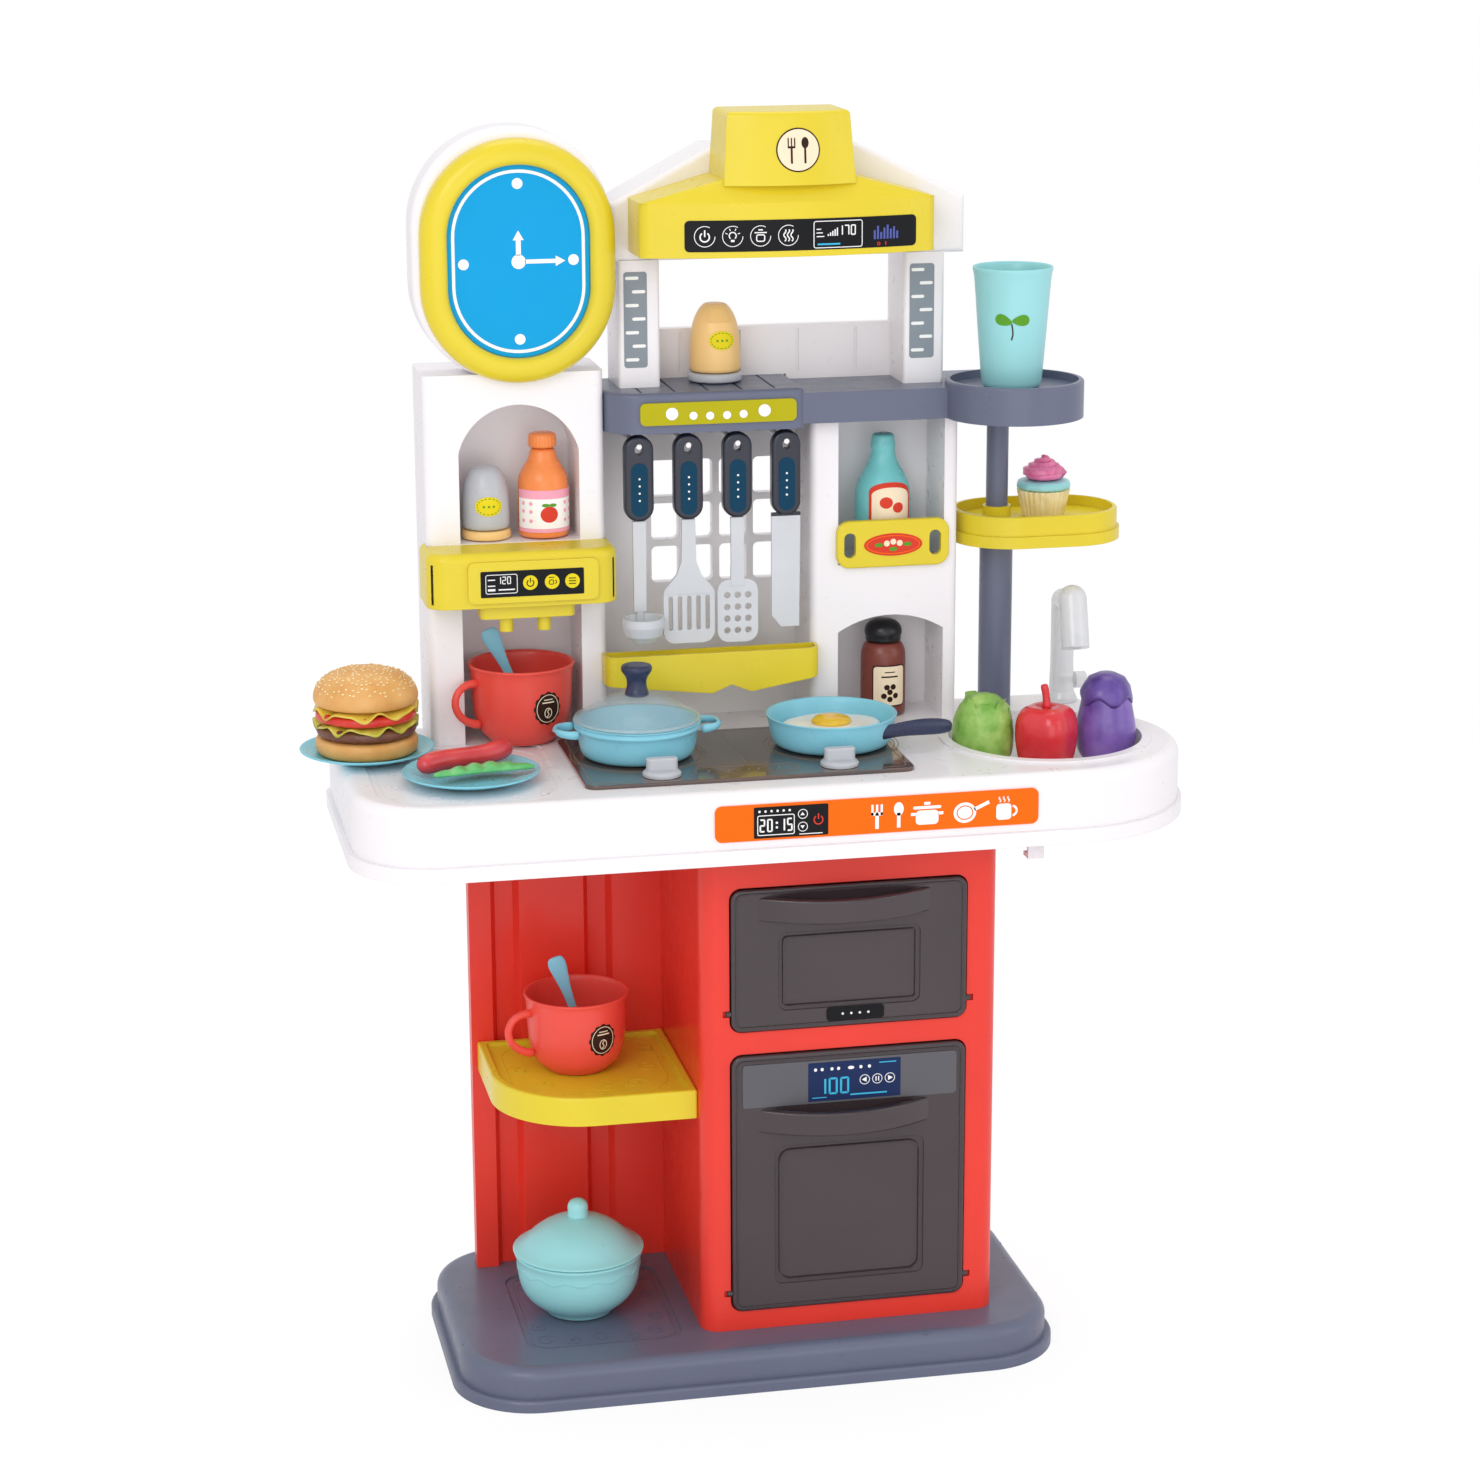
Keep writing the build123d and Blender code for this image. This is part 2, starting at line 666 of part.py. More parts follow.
def back_panel():
    y0 = niche_back
    y1 = counter_back - 4.0
    panel = block(tower_right, column_left, y0, y1, counter_top, shelf_bottom - 3.0)
    cell_wide = (grid_right - grid_left - 3 * grid_bar) / 4
    cell_tall = (grid_top - grid_bottom - 2 * grid_bar) / 3
    for column in range(4):
        for row in range(3):
            x0 = grid_left + column * (cell_wide + grid_bar)
            z0 = grid_bottom + row * (cell_tall + grid_bar)
            panel = panel - facing(x0, x0 + cell_wide, z0, z0 + cell_tall, y0 - 1.0, y1 + 1.0, 4.0)
    return panel


def right_column():
    outer = upright(column_left, column_right, wall_front, counter_back, counter_top, column_top, 6.0)
    room = block(column_left + wall, column_right - wall, wall_front + wall, counter_back + 1.0,
                 counter_top + wall, column_top - wall)
    shell = outer - room
    upper = block(recess_left - wall, recess_right + wall, wall_front + 1.0, niche_back + wall,
                  recess_bottom - wall, column_top - 0.5)
    lower = block(recess_left - wall, recess_right + wall, wall_front + 1.0, niche_back + wall,
                  counter_top, lower_niche_top + wall)
    shell = shell + upper + lower
    shell = shell - block(recess_left, recess_right, wall_front - 1.0, niche_back, recess_bottom,
                          column_top + 1.0)
    low_cut = flat_arch_cut(recess_left, recess_right, counter_top - 1.0, lower_niche_top, 12.0,
                            wall_front - 1.0, niche_back)
    return shell - low_cut


def sauce_holder():
    plate = facing(87.0, 174.0, 586.0, 622.0, wall_front - 5.0, wall_front, 10.0)
    plate = fillet(plate.faces().sort_by(Axis.Y)[0].edges(), 1.5)
    for x in (97.0, 163.0):
        plate = plate - facing(x - 4.5, x + 4.5, 594.0, 613.0, wall_front - 8.0, wall_front + 2.0, 4.4)
    return plate


def shelf_plan(inset):
    left = tower_right + 0.3 + inset
    hump = rounded_plan(left, shelf_hump_right - inset, shelf_front + inset, counter_back - inset,
                        26.0 - inset, 6.0 - min(inset, 5.0), 0, 0)
    return hump


def top_shelf():
    height = shelf_top - shelf_bottom
    hump = Pos(0, 0, shelf_bottom - 3.0) * extrude(shelf_plan(0.0), height + 3.0)
    hump = fillet(hump.edges().group_by(Axis.Z)[-1], 3.0)
    hump_room = Pos(0, 0, shelf_bottom - 4.0) * extrude(shelf_plan(wall), height)
    hump = hump - hump_room
    low = shelf_low
    run = block(shelf_hump_right - 2.0, tray_x, wall_front - 14.0, counter_back, shelf_bottom, low)
    run_room = block(shelf_hump_right + 1.0, tray_x - 1.0, wall_front - 11.0, counter_back - wall,
                     shelf_bottom - 1.0, low - wall)
    run = run - run_room
    tray = Pos(tray_x, tray_y, shelf_bottom) * extrude(Circle(tray_radius), shelf_top - shelf_bottom + 1.0)
    tray = fillet(tray.faces().sort_by(Axis.Z)[-1].edges(), 1.8)
    dish = Pos(tray_x, tray_y, shelf_top - 5.0) * extrude(Circle(tray_radius - tray_rim), 12.0)
    under = Pos(tray_x, tray_y, shelf_bottom - 1.0) * extrude(Circle(tray_radius - wall), 19.0)
    shelf = hump + run + tray - dish - under
    boss = Pos(pole_x, pole_y, shelf_bottom) * extrude(Circle(pole_upper_radius + 3.0), 21.0)
    shelf = shelf + (boss & Pos(tray_x, tray_y, shelf_bottom) * extrude(Circle(tray_radius - 1.0), 30.0))
    shelf = shelf - rod(pole_upper_radius, (pole_x, pole_y, shelf_bottom - 1.0), 16.0, (0, 0, 1))
    for slot in range(5):
        x = -62.0 + slot * 25.0
        shelf = shelf - block(x - 1.0, x + 1.0, 34.0, 106.0, shelf_top - 1.2, shelf_top + 1.0)
    return shelf


def shelf_trim():
    strip = facing(-64.0, 53.0, 702.5, 719.0, shelf_front - 2.2, shelf_front, 4.0)
    return strip


def utensil_x(index):
    return utensil_first + index * utensil_pitch


def hooks():
    # Four pegs under the shelf for the utensils and one towel hook under the counter.
    pegs = []
    for index in range(4):
        x = utensil_x(index)
        stem = rod(peg_radius, (x, utensil_y - 4.0, peg_z), niche_back - utensil_y + 4.0, (0, 1, 0))
        stop = rod(peg_radius + 1.0, (x, niche_back - 4.0, peg_z), 4.0, (0, 1, 0))
        pegs.append(stem + stop)
    hook = block(197.0, 209.0, -104.0, -101.0, 396.0, counter_top - 40.0)
    hook = hook + block(197.0, 209.0, -104.0, -92.0, 394.0, 397.0)
    hook = hook + block(197.0, 209.0, counter_front + counter_lip + wall, -101.0, 422.0, 425.0)
    pegs.append(hook)
    return Compound(pegs)


def utensil_bin():
    x0 = -92.0
    x1 = 71.0
    y0 = bin_front
    y1 = wall_front
    top = 530.0
    points = Polyline((x0, top), (x0, 508.0), (-12.0, 499.0), (3.0, 505.0), (18.0, 499.0), (x1, 508.0),
                      (x1, top))
    outline = make_face([*points.edges(), Line((x1, top), (x0, top))])
    outer = Pos(0, y1, 0) * extrude(Plane.XZ * outline, y1 - y0)
    front_edges = outer.edges().filter_by(Axis.Z).sort_by(Axis.Y)[:2]
    outer = fillet(front_edges, 9.0)
    inner_points = Polyline((x0 + 2.5, top + 1.0), (x0 + 2.5, 510.5), (-12.0, 501.8), (3.0, 508.0),
                            (18.0, 501.8), (x1 - 2.5, 510.5), (x1 - 2.5, top + 1.0))
    inner_lid = Line((x1 - 2.5, top + 1.0), (x0 + 2.5, top + 1.0))
    inner_outline = make_face([*inner_points.edges(), inner_lid])
    inner = Pos(0, y1 - 2.5, 0) * extrude(Plane.XZ * inner_outline, y1 - y0 - 5.0)
    inner_edges = inner.edges().filter_by(Axis.Z).sort_by(Axis.Y)[:2]
    inner = fillet(inner_edges, 6.5)
    return outer - inner


def house_frame():
    roof_line = [(house_left, eave_bottom), (house_left, eave_top), (-4.0, ridge_top), (106.0, ridge_top),
                 (house_right, eave_top), (house_right, eave_bottom)]
    roof = Pos(0, house_back, 0) * extrude(Plane.XZ * make_face(Polyline(*roof_line, close=True)),
                                           house_back - house_front)
    roof = fillet(roof.faces().sort_by(Axis.Y)[0].edges(), 4.0)
    roof_room = [(house_left + wall, eave_bottom + wall), (house_left + wall, eave_top - 2.0),
                 (-4.0, ridge_top - wall), (106.0, ridge_top - wall), (house_right - wall, eave_top - 2.0),
                 (house_right - wall, eave_bottom + wall)]
    hollow = Pos(0, house_back + 1.0, 0) * extrude(Plane.XZ * make_face(Polyline(*roof_room, close=True)),
                                                   house_back - house_front - wall - 3.0)
    frame = roof - hollow
    foot = shelf_top
    low_foot = shelf_low
    for x0, z0 in ((leg_left, foot), (leg_right - leg_width, low_foot)):
        leg = upright(x0, x0 + leg_width, house_front, house_back, z0, eave_bottom + 1.0, 3.0)
        leg_room = block(x0 + wall, x0 + leg_width - wall, house_front + wall, house_back + 1.0,
                         z0 - 1.0, eave_bottom)
        frame = frame + (leg - leg_room)
    panel_left = leg_left + leg_width - 1.0
    panel_right = leg_right - leg_width + 1.0
    panel = block(panel_left, panel_right, house_back - 10.0, house_back, foot, sill_top)
    panel = panel + block(shelf_hump_right + 1.0, panel_right, house_back - 10.0, house_back, low_foot,
                          foot + 1.0)
    for x in (-20.0, 25.0, 70.0, 115.0):
        panel = panel - block(x - 1.0, x + 1.0, house_back - 11.0, house_back - 9.0, foot + 2.0,
                              sill_top - 3.0)
    return frame + panel


def hood_plan(bow, front, back):
    left = hood_left
    right = hood_right
    middle = (left + right) / 2
    arc = ThreePointArc((left, front + bow), (middle, front), (right, front + bow))
    side_a = Line((right, front + bow), (right, back))
    rear = Line((right, back), (left, back))
    side_b = Line((left, back), (left, front + bow))
    return make_face([arc, side_a, rear, side_b])


def hood():
    back = house_front
    skirt = extrude(hood_plan(hood_bow, hood_front, back), hood_side_top - hood_bottom)
    lower = Pos(0, 0, hood_bottom) * skirt
    lower = fillet(lower.edges().filter_by(Axis.Z).sort_by(Axis.Y)[:2], 8.0)
    middle = (chimney_left + chimney_right) / 2
    top_plane = Plane.XY.offset(chimney_base + 1.0)
    top_sketch = top_plane * Pos(middle, back - 27.0) * Rectangle(chimney_right - chimney_left, 54.0)
    low_sketch = Plane.XY.offset(hood_side_top) * hood_plan(hood_bow, hood_front, back)
    slope = loft([low_sketch.face(), top_sketch.face()])
    stack_low = Plane.XY.offset(chimney_base - 4.0) * chimney_plan(middle, 97.0, 66.0, back)
    stack_high = Plane.XY.offset(chimney_top) * chimney_plan(middle, 90.0, 60.0, back)
    stack = loft([stack_low.face(), stack_high.face()])
    stack = fillet(stack.faces().sort_by(Axis.Z)[-1].edges(), 4.0)
    body = lower + slope + stack
    room = Pos(0, wall, hood_bottom - 1.0) * extrude(hood_plan(hood_bow, hood_front + wall, back - 2 * wall),
                                                     hood_side_top - hood_bottom - wall)
    room = room & block(hood_left + wall, hood_right - wall, hood_front - 5.0, back - wall, 0.0, 2000.0)
    flue = block(chimney_left + 6.0, chimney_right - 6.0, back - 46.0, back - wall, hood_side_top - 20.0,
                 chimney_top - 6.0)
    return body - room - flue


def chimney_plan(middle, width, depth, back):
    half = width / 2
    front = back - depth
    arc = ThreePointArc((middle - half, front + 9.0), (middle, front), (middle + half, front + 9.0))
    side_a = Line((middle + half, front + 9.0), (middle + half, back))
    rear = Line((middle + half, back), (middle - half, back))
    side_b = Line((middle - half, back), (middle - half, front + 9.0))
    return make_face([arc, side_a, rear, side_b])


def pole():
    lower_top = pole_shelf_top - pole_shelf_height - body_gap
    upper_end = shelf_bottom + 14.0
    tube = Pos(pole_x, pole_y, counter_top) * extrude(Circle(pole_lower_radius), lower_top - counter_top)
    thin = extrude(Circle(pole_upper_radius), upper_end - lower_top + 5.0)
    bore = extrude(Circle(pole_lower_radius - wall), lower_top - counter_top - 8.0)
    tube = tube + Pos(pole_x, pole_y, lower_top - 5.0) * thin
    return tube - Pos(pole_x, pole_y, counter_top - 1.0) * bore


def pole_shelf():
    low = pole_shelf_top - pole_shelf_height
    centre = Pos(pole_shelf_x, pole_y, low)
    length = pole_shelf_length
    wide = pole_shelf_width
    tray = centre * extrude(RectangleRounded(length, wide, wide / 2 - 2.0), pole_shelf_height)
    tray = fillet(tray.edges().group_by(Axis.Z)[-1], 1.5)
    lip = centre * extrude(RectangleRounded(length + 4.0, wide + 4.0, wide / 2), 9.0)
    tray = tray + lip
    dish = extrude(RectangleRounded(length - 7.0, wide - 7.0, wide / 2 - 5.5), 20.0)
    under = extrude(RectangleRounded(length - 8.0, wide - 8.0, wide / 2 - 6.0), 13.0)
    tray = tray - Pos(0, 0, 16.0) * centre * dish - Pos(0, 0, -1.0) * centre * under
    sleeve = extrude(Circle(pole_upper_radius + 2.5), pole_shelf_height + 2.0)
    tray = tray + Pos(pole_x, pole_y, low) * sleeve
    bore = extrude(Circle(pole_upper_radius + running_fit), 60.0)
    return tray - Pos(pole_x, pole_y, low - 2.0) * bore


def faucet():
    foot = counter_top + body_gap
    r = tap_radius
    body = turned([(0, 0), (12.0, 0), (12.0, 3.0), (r + 0.8, 8.0), (r, 30.0), (r, 80.0), (0, 80.0)],
                  tap_x, tap_y, foot)
    bend_z = foot + 80.0
    body = body + Pos(tap_x, tap_y, bend_z) * Sphere(r)
    reach_y = tap_y - tap_reach
    arm = Vector(-3.0, -tap_reach + 12.0, 8.0)
    body = body + rod(r, (tap_x, tap_y, bend_z), arm.length, (arm.X, arm.Y, arm.Z))
    head_y = reach_y + 12.0
    body = body + Pos(tap_x - 3.0, head_y, bend_z + 8.0) * Sphere(r + 2.0)
    drop = (-0.03, -0.35, -0.936)
    spout = rod(r + 2.0, (tap_x - 3.0, head_y, bend_z + 8.0), 38.0, drop)
    tip_y = head_y - 0.35 * 27.0
    tip_z = bend_z + 8.0 - 0.936 * 27.0
    outlet = rod(5.0, (tap_x - 3.8, tip_y, tip_z), 16.0, drop)
    stub = rod(r - 3.0, (tap_x, tap_y, counter_top - 9.0), 12.0, (0, 0, 1))
    knob_hole = rod(tap_knob_stub + running_fit, (tap_x - 1.0, tap_y, tap_knob_z), 30.0, (1, 0, 0))
    return body + spout + stub - outlet - knob_hole


def tap_knob():
    start = tap_x + tap_radius + 1.5
    cap = rod(6.5, (start, tap_y, tap_knob_z), 9.0, (1, 0, 0))
    cap = fillet(cap.faces().sort_by(Axis.X)[-1].edges(), 1.5)
    stub = rod(tap_knob_stub, (tap_x, tap_y, tap_knob_z), 14.0, (1, 0, 0))
    return cap + stub


def cup(x, y, z, angle):
    r = cup_radius
    h = cup_height
    body = turned([(0, 0), (25.0, 0), (26.0, 2.0), (31.0, 8.0), (r - 3.0, 26.0), (r - 1.5, h - 3.0),
                   (r, h - 1.5), (r, h), (r - 2.5, h), (r - 4.0, h - 4.0), (r - 6.0, 27.0), (29.0, 11.0),
                   (0, 4.0)], 0, 0, 0)
    ring = ThreePointArc((r - 3.0, 0, 48.0), (r + 17.0, 0, 34.0), (r - 5.0, 0, 18.0))
    start = Plane(origin=ring @ 0, z_dir=ring % 0)
    grip = sweep(start * RectangleRounded(7.0, 5.0, 2.3), ring)
    return Pos(x, y, z) * Rot(0, 0, angle) * (body + grip)


def spoon(x, y, z, lean, turn):
    stem = block(-3.0, 3.0, -1.2, 1.2, 0.0, 76.0)
    tip = Pos(0, 0, 80.0) * (Rot(90, 0, 0) * extrude(Circle(8.0), 1.2, both=True))
    solid = stem + tip
    return Pos(x, y, z) * Rot(0, 0, turn) * Rot(0, lean, 0) * solid


def counter_cup():
    z = counter_top + body_gap
    body = cup(counter_cup_x, counter_cup_y, z, 200.0)
    stick = spoon(counter_cup_x - 2.0, counter_cup_y + 6.0, z + 7.5, 17.0, 0.0)
    return Compound([body, stick])


def shelf_cup():
    z = side_shelf_top - 3.0 + body_gap
    body = cup(shelf_cup_x, shelf_cup_y, z, 195.0)
    stick = spoon(shelf_cup_x + 6.0, shelf_cup_y, z + 7.5, -20.0, 0.0)
    return Compound([body, stick])


def pot():
    r = pot_radius
    h = pot_height
    z = counter_top + hob_thickness + body_gap
    body = turned([(0, 0), (r - 7.0, 0), (r - 3.0, 4.0), (r - 1.0, h - 3.0), (r + 1.5, h - 1.5),
                   (r + 1.5, h), (r - 3.0, h), (r - 5.0, 6.0), (r - 8.0, 3.0), (0, 3.0)], pot_x, pot_y, z)
    for side in (-1, 1):
        x0 = pot_x + side * (r - 1.5)
        x1 = pot_x + side * (r + 17.0)
        ear = upright(min(x0, x1), max(x0, x1), pot_y - 16.0, pot_y + 16.0, z + h - 9.0, z + h - 4.0, 5.0)
        grip_x = pot_x + side * (r + 6.5)
        ear = ear - upright(grip_x - 4.0, grip_x + 4.0, pot_y - 10.0, pot_y + 10.0, z, z + 80.0, 3.0)
        body = body + ear
    hollow = Pos(pot_x, pot_y, z + 8.0) * extrude(Circle(r - 4.2), 60.0)
    return body - hollow


def pot_lid():
    r = pot_radius
    z = counter_top + hob_thickness + body_gap + pot_height + body_gap
    dome = turned([(0, 20.0), (14.0, 18.0), (27.0, 12.5), (36.0, 6.0), (42.0, 2.0), (r + 1.0, 1.5),
                   (r + 1.0, 0), (38.0, 0), (26.0, 10.0), (13.0, 15.5), (0, 17.5)], pot_x, pot_y, z)
    knob = turned([(0, 17.0), (6.5, 17.0), (6.5, 24.0), (11.5, 28.0), (11.5, 35.0), (8.0, 40.0), (0, 41.0)],
                  pot_x, pot_y, z)
    return dome + knob


def pan():
    r = pan_radius
    z = counter_top + hob_thickness + body_gap
    h = 24.0
    body = turned([(0, 0), (r - 9.0, 0), (r - 5.0, 2.0), (r, h - 2.0), (r + 1.0, h), (r - 2.0, h),
                   (r - 7.5, 4.0), (r - 10.0, 2.5), (0, 2.5)], pan_x, pan_y, z)
    grip = Pos(30.0, 0, 0) * extrude(RectangleRounded(66.0, 16.0, 7.0), 9.0)
    grip = fillet(grip.faces().sort_by(Axis.Z)[-1].edges(), 3.0)
    grip = grip - Pos(54.0, 0, -1.0) * extrude(Circle(3.0), 50.0)
    grip = Pos(pan_x + 26.0, pan_y - 28.0, z + 9.0) * Rot(0, 0, 10.0) * grip
    hollow = Pos(pan_x, pan_y, z + 6.0) * extrude(Circle(r - 6.0), 60.0)
    body = body + (grip - hollow)
    egg = egg_solid(pan_x, pan_y, z + 2.5 + body_gap)
    return Compound([body, egg])


def egg_solid(x, y, z):
    outline = Circle(33.0) + Pos(9.0, 8.0) * Circle(26.0) + Pos(-12.0, -5.0) * Circle(24.0)
    white = Pos(x, y, z) * extrude(outline, 8.0)
    yolk = turned([(0, 7.0), (15.5, 7.0), (14.5, 12.0), (10.0, 16.0), (0, 18.0)], x, y, z)
    return white + yolk


def plate(x, y, z):
    r = plate_radius
    return turned([(0, 0), (31.0, 0), (33.0, 1.2), (r - 2.0, 5.5), (r, 7.0), (r - 1.5, 8.0), (r - 5.0, 6.8),
                   (32.0, 3.2), (0, 3.0)], x, y, z)


def burger_plate():
    z = counter_top + body_gap
    dish = plate(burger_x, burger_y, z)
    low = z + 3.0 + body_gap
    bottom = turned([(0, 0), (33.0, 0), (37.5, 5.0), (38.0, 12.0), (36.0, 14.0), (0, 14.0)],
                    burger_x, burger_y, low)
    salad = turned([(0, 14.3), (39.0, 14.3), (40.0, 16.5), (38.0, 19.0), (0, 19.0)],
                   burger_x, burger_y, low)
    meat = turned([(0, 19.3), (36.5, 19.3), (38.5, 24.0), (36.5, 28.0), (0, 28.0)],
                  burger_x, burger_y, low)
    slice_plan = Rot(0, 0, 20.0) * RectangleRounded(62.0, 62.0, 6.0)
    cheese = Pos(burger_x, burger_y, low + 28.3) * extrude(slice_plan, 3.0)
    top = turned([(0, 31.6), (37.0, 31.6), (39.5, 37.0), (37.5, 46.0), (30.0, 56.0), (18.0, 62.0),
                  (0, 64.0)], burger_x, burger_y, low)
    return Compound([dish, bottom, salad, meat, cheese, top])


def serving_plate():
    z = counter_top + body_gap
    dish = plate(serving_x, serving_y, z)
    low = z + 8.6
    bend = ThreePointArc((-32.0, 6.0, 0), (0, 16.0, 0), (30.0, 4.0, 0))
    link = sweep(Plane(origin=bend @ 0, z_dir=bend % 0) * Circle(8.5), bend)
    sausage = link + Pos(-32.0, 6.0, 0) * Sphere(8.5) + Pos(30.0, 4.0, 0) * Sphere(8.5)
    sausage = Pos(serving_x - 2.0, serving_y + 2.0, low + 8.7) * sausage
    arc = ThreePointArc((-36.0, -14.0, 0), (0, -22.0, 0), (36.0, -10.0, 0))
    pod = sweep(Plane(origin=arc @ 0, z_dir=arc % 0) * Circle(5.0), arc)
    pod = pod + Pos(-36.0, -14.0, 0) * Sphere(5.0) + Pos(36.0, -10.0, 0) * Sphere(5.0)
    for t in (0.18, 0.34, 0.5, 0.66, 0.82):
        p = arc @ t
        pod = pod + Pos(p.X, p.Y, 2.0) * Sphere(6.6)
    pod = Pos(serving_x + 8.0, serving_y - 2.0, low + 5.2) * pod
    return Compound([dish, sausage, pod])


def tumbler():
    z = shelf_top - 5.0 + body_gap
    return turned([(0, 0), (21.0, 0), (22.5, 1.5), (29.0, 86.0), (30.0, 88.0), (30.0, 90.0), (28.2, 90.0),
                   (27.0, 86.0), (20.5, 3.0), (0, 3.0)], tray_x - 3.0, tray_y - 2.0, z)


def salt_shaker():
    x = 2.0
    y = 78.0
    z = shelf_top + body_gap
    return turned([(0, 0), (19.5, 0), (20.5, 2.0), (20.5, 7.0), (20.0, 7.6), (18.8, 30.0), (17.5, 44.0),
                   (14.0, 54.0), (9.0, 58.5), (0, 60.0)], x, y, z)


def shaker(x, y, z, r, h):
    return turned([(0, 0), (r - 1.0, 0), (r, 1.5), (r, h * 0.62), (r - 0.8, h * 0.64), (r - 0.8, h * 0.70),
                   (r, h * 0.72), (r - 1.0, h * 0.86), (r * 0.72, h * 0.96), (r * 0.35, h), (0, h)], x, y, z)


def milk_bottle():
    z = niche_floor + body_gap
    return turned([(0, 0), (18.0, 0), (19.0, 1.5), (19.0, 42.0), (18.0, 46.0), (12.0, 56.0), (9.5, 60.0),
                   (9.5, 68.0), (10.5, 68.0), (10.5, 76.0), (9.0, 77.5), (0, 77.5)], -131.0, 66.0, z)


def sauce_bottle():
    z = recess_bottom + body_gap
    return turned([(0, 0), (20.0, 0), (21.5, 2.0), (21.5, 52.0), (19.0, 62.0), (11.0, 74.0), (9.0, 78.0),
                   (9.0, 93.0), (7.5, 95.0), (0, 95.0)], 130.0, 72.0, z)


def cupcake():
    z = pole_shelf_top - 8.0 + body_gap
    x = 258.0
    y = 76.0
    case = turned([(0, 0), (15.5, 0), (20.5, 21.0), (0, 21.0)], x, y, z)
    flutes = 24
    for index in range(flutes):
        turn = Rot(0, 0, index * 360.0 / flutes)
        flute = Pos(19.6, 0, -1.0) * Rot(0, 13.4, 0) * extrude(Circle(1.2), 26.0)
        case = case - Pos(x, y, z) * turn * flute
    band = turned([(0, 21.2), (20.8, 21.2), (20.8, 24.5), (19.0, 28.0), (0, 28.0)], x, y, z)
    swirl = turned([(0, 28.2), (18.0, 28.2), (18.5, 31.0), (16.5, 34.0), (16.8, 36.0), (13.5, 39.0),
                    (13.0, 41.0), (8.5, 44.0), (7.0, 46.0), (0, 48.5)], x, y, z)
    return Compound([case, band, swirl])


def cabbage():
    x = sink_x - 47.0
    y = sink_y + 4.0
    z = counter_top - sink_depth + 2.4 + body_gap
    return turned([(0, 0), (12.0, 0), (19.0, 6.0), (22.5, 22.0), (21.5, 38.0), (16.0, 52.0), (8.0, 59.0),
                   (0, 61.0)], x, y, z)


def red_pepper():
    x = sink_x - 3.0
    y = sink_y - 14.0
    z = counter_top - sink_depth + 2.4 + body_gap
    body = rod(4.0, (x, y, z + 40.0), 28.0, (-0.12, 0.0, 1.0))
    lobe = turned([(0, 0), (10.0, 0), (14.0, 8.0), (16.5, 30.0), (15.5, 44.0), (9.0, 51.0), (0, 52.0)],
                  9.5, 0, 0)
    for index in range(4):
        body = body + Pos(x, y, z) * Rot(0, 0, 45.0 + index * 90.0) * lobe
    return body


def eggplant():
    x = sink_x + 47.0
    y = sink_y - 2.0
    z = counter_top - sink_depth + 2.4 + body_gap
    return turned([(0, 0), (15.0, 0), (23.0, 9.0), (23.5, 24.0), (20.0, 44.0), (19.0, 56.0),
                   (15.0, 66.0), (0, 71.0)], x, y, z)


def tureen():
    z = base_height - 1.2 + body_gap
    r = tureen_radius
    return turned([(0, 0), (25.0, 0), (26.0, 3.0), (36.0, 10.0), (r - 3.0, 26.0), (r - 2.0, 46.0), (r, 48.0),
                   (r, 50.0), (r - 4.0, 50.0), (r - 5.0, 45.0), (r - 6.0, 27.0), (34.0, 13.0), (0, 6.0)],
                  tureen_x, tureen_y, z)


def tureen_lid():
    z = base_height - 1.2 + body_gap + 50.0 + body_gap
    r = tureen_radius
    dome = turned([(0, 26.0), (14.0, 25.0), (28.0, 19.5), (40.0, 8.0), (r - 5.0, 2.4), (r + 1.0, 2.4),
                   (r + 1.0, 0), (r - 7.0, 0), (36.0, 7.5), (26.0, 16.5), (13.0, 22.0), (0, 23.0)],
                  tureen_x, tureen_y, z)
    knob = turned([(0, 24.0), (7.5, 24.0), (8.0, 31.0), (7.0, 36.0), (4.0, 39.0), (0, 40.0)],
                  tureen_x, tureen_y, z)
    return dome + knob


def utensil_handle(x):
    top = peg_z + 8.0
    plate_body = facing(x - handle_wide / 2, x + handle_wide / 2, top - handle_length, top, utensil_y - 4.0,
                        utensil_y + 4.0, handle_wide / 2 - 0.2)
    plate_body = fillet(plate_body.faces().sort_by(Axis.Y)[0].edges(), 2.5)
    slot = facing(x - 3.2, x + 3.2, peg_z - 6.0, peg_z + peg_radius + body_gap, utensil_y - 6.0,
                  utensil_y + 6.0, 3.1)
    return plate_body - slot


def ladle():
    x = utensil_x(0)
    low = peg_z + 8.0 - handle_length
    shaft = block(x - 2.5, x + 2.5, utensil_y - 1.5, utensil_y + 1.5, 556.0, low + 2.0)
    bowl_y = utensil_y + 3.0 - ladle_radius
    r = ladle_radius
    bowl = turned([(0, -12.0), (r - 7.3, -10.5), (r - 2.2, -5.2), (r, 2.0), (r, 8.0), (r - 2.0, 8.0),
                   (r - 4.2, -4.0), (r - 8.6, -8.6), (0, -10.0)], x, bowl_y, 552.0)
    bridge = block(x - 2.5, x + 2.5, utensil_y - 1.5, utensil_y + 2.6, 553.0, 560.0)
    return utensil_handle(x) + shaft + bowl + bridge


def flat_head(x, wide, low, high):
    head = facing(x - wide / 2, x + wide / 2, low, high, utensil_y - 1.5, utensil_y + 1.5, 9.0)
    shaft = block(x - 2.5, x + 2.5, utensil_y - 1.5, utensil_y + 1.5, high - 4.0,
                  peg_z + 10.0 - handle_length)
    return head + shaft


def spatula():
    x = utensil_x(1)
    body = flat_head(x, 39.0, 536.0, 582.0)
    for index in range(5):
        slot_x = x - 14.0 + index * 7.0
        body = body - facing(slot_x - 1.6, slot_x + 1.6, 546.0, 572.0, utensil_y - 4.0,
                             utensil_y + 4.0, 1.5)
    return utensil_handle(x) + body


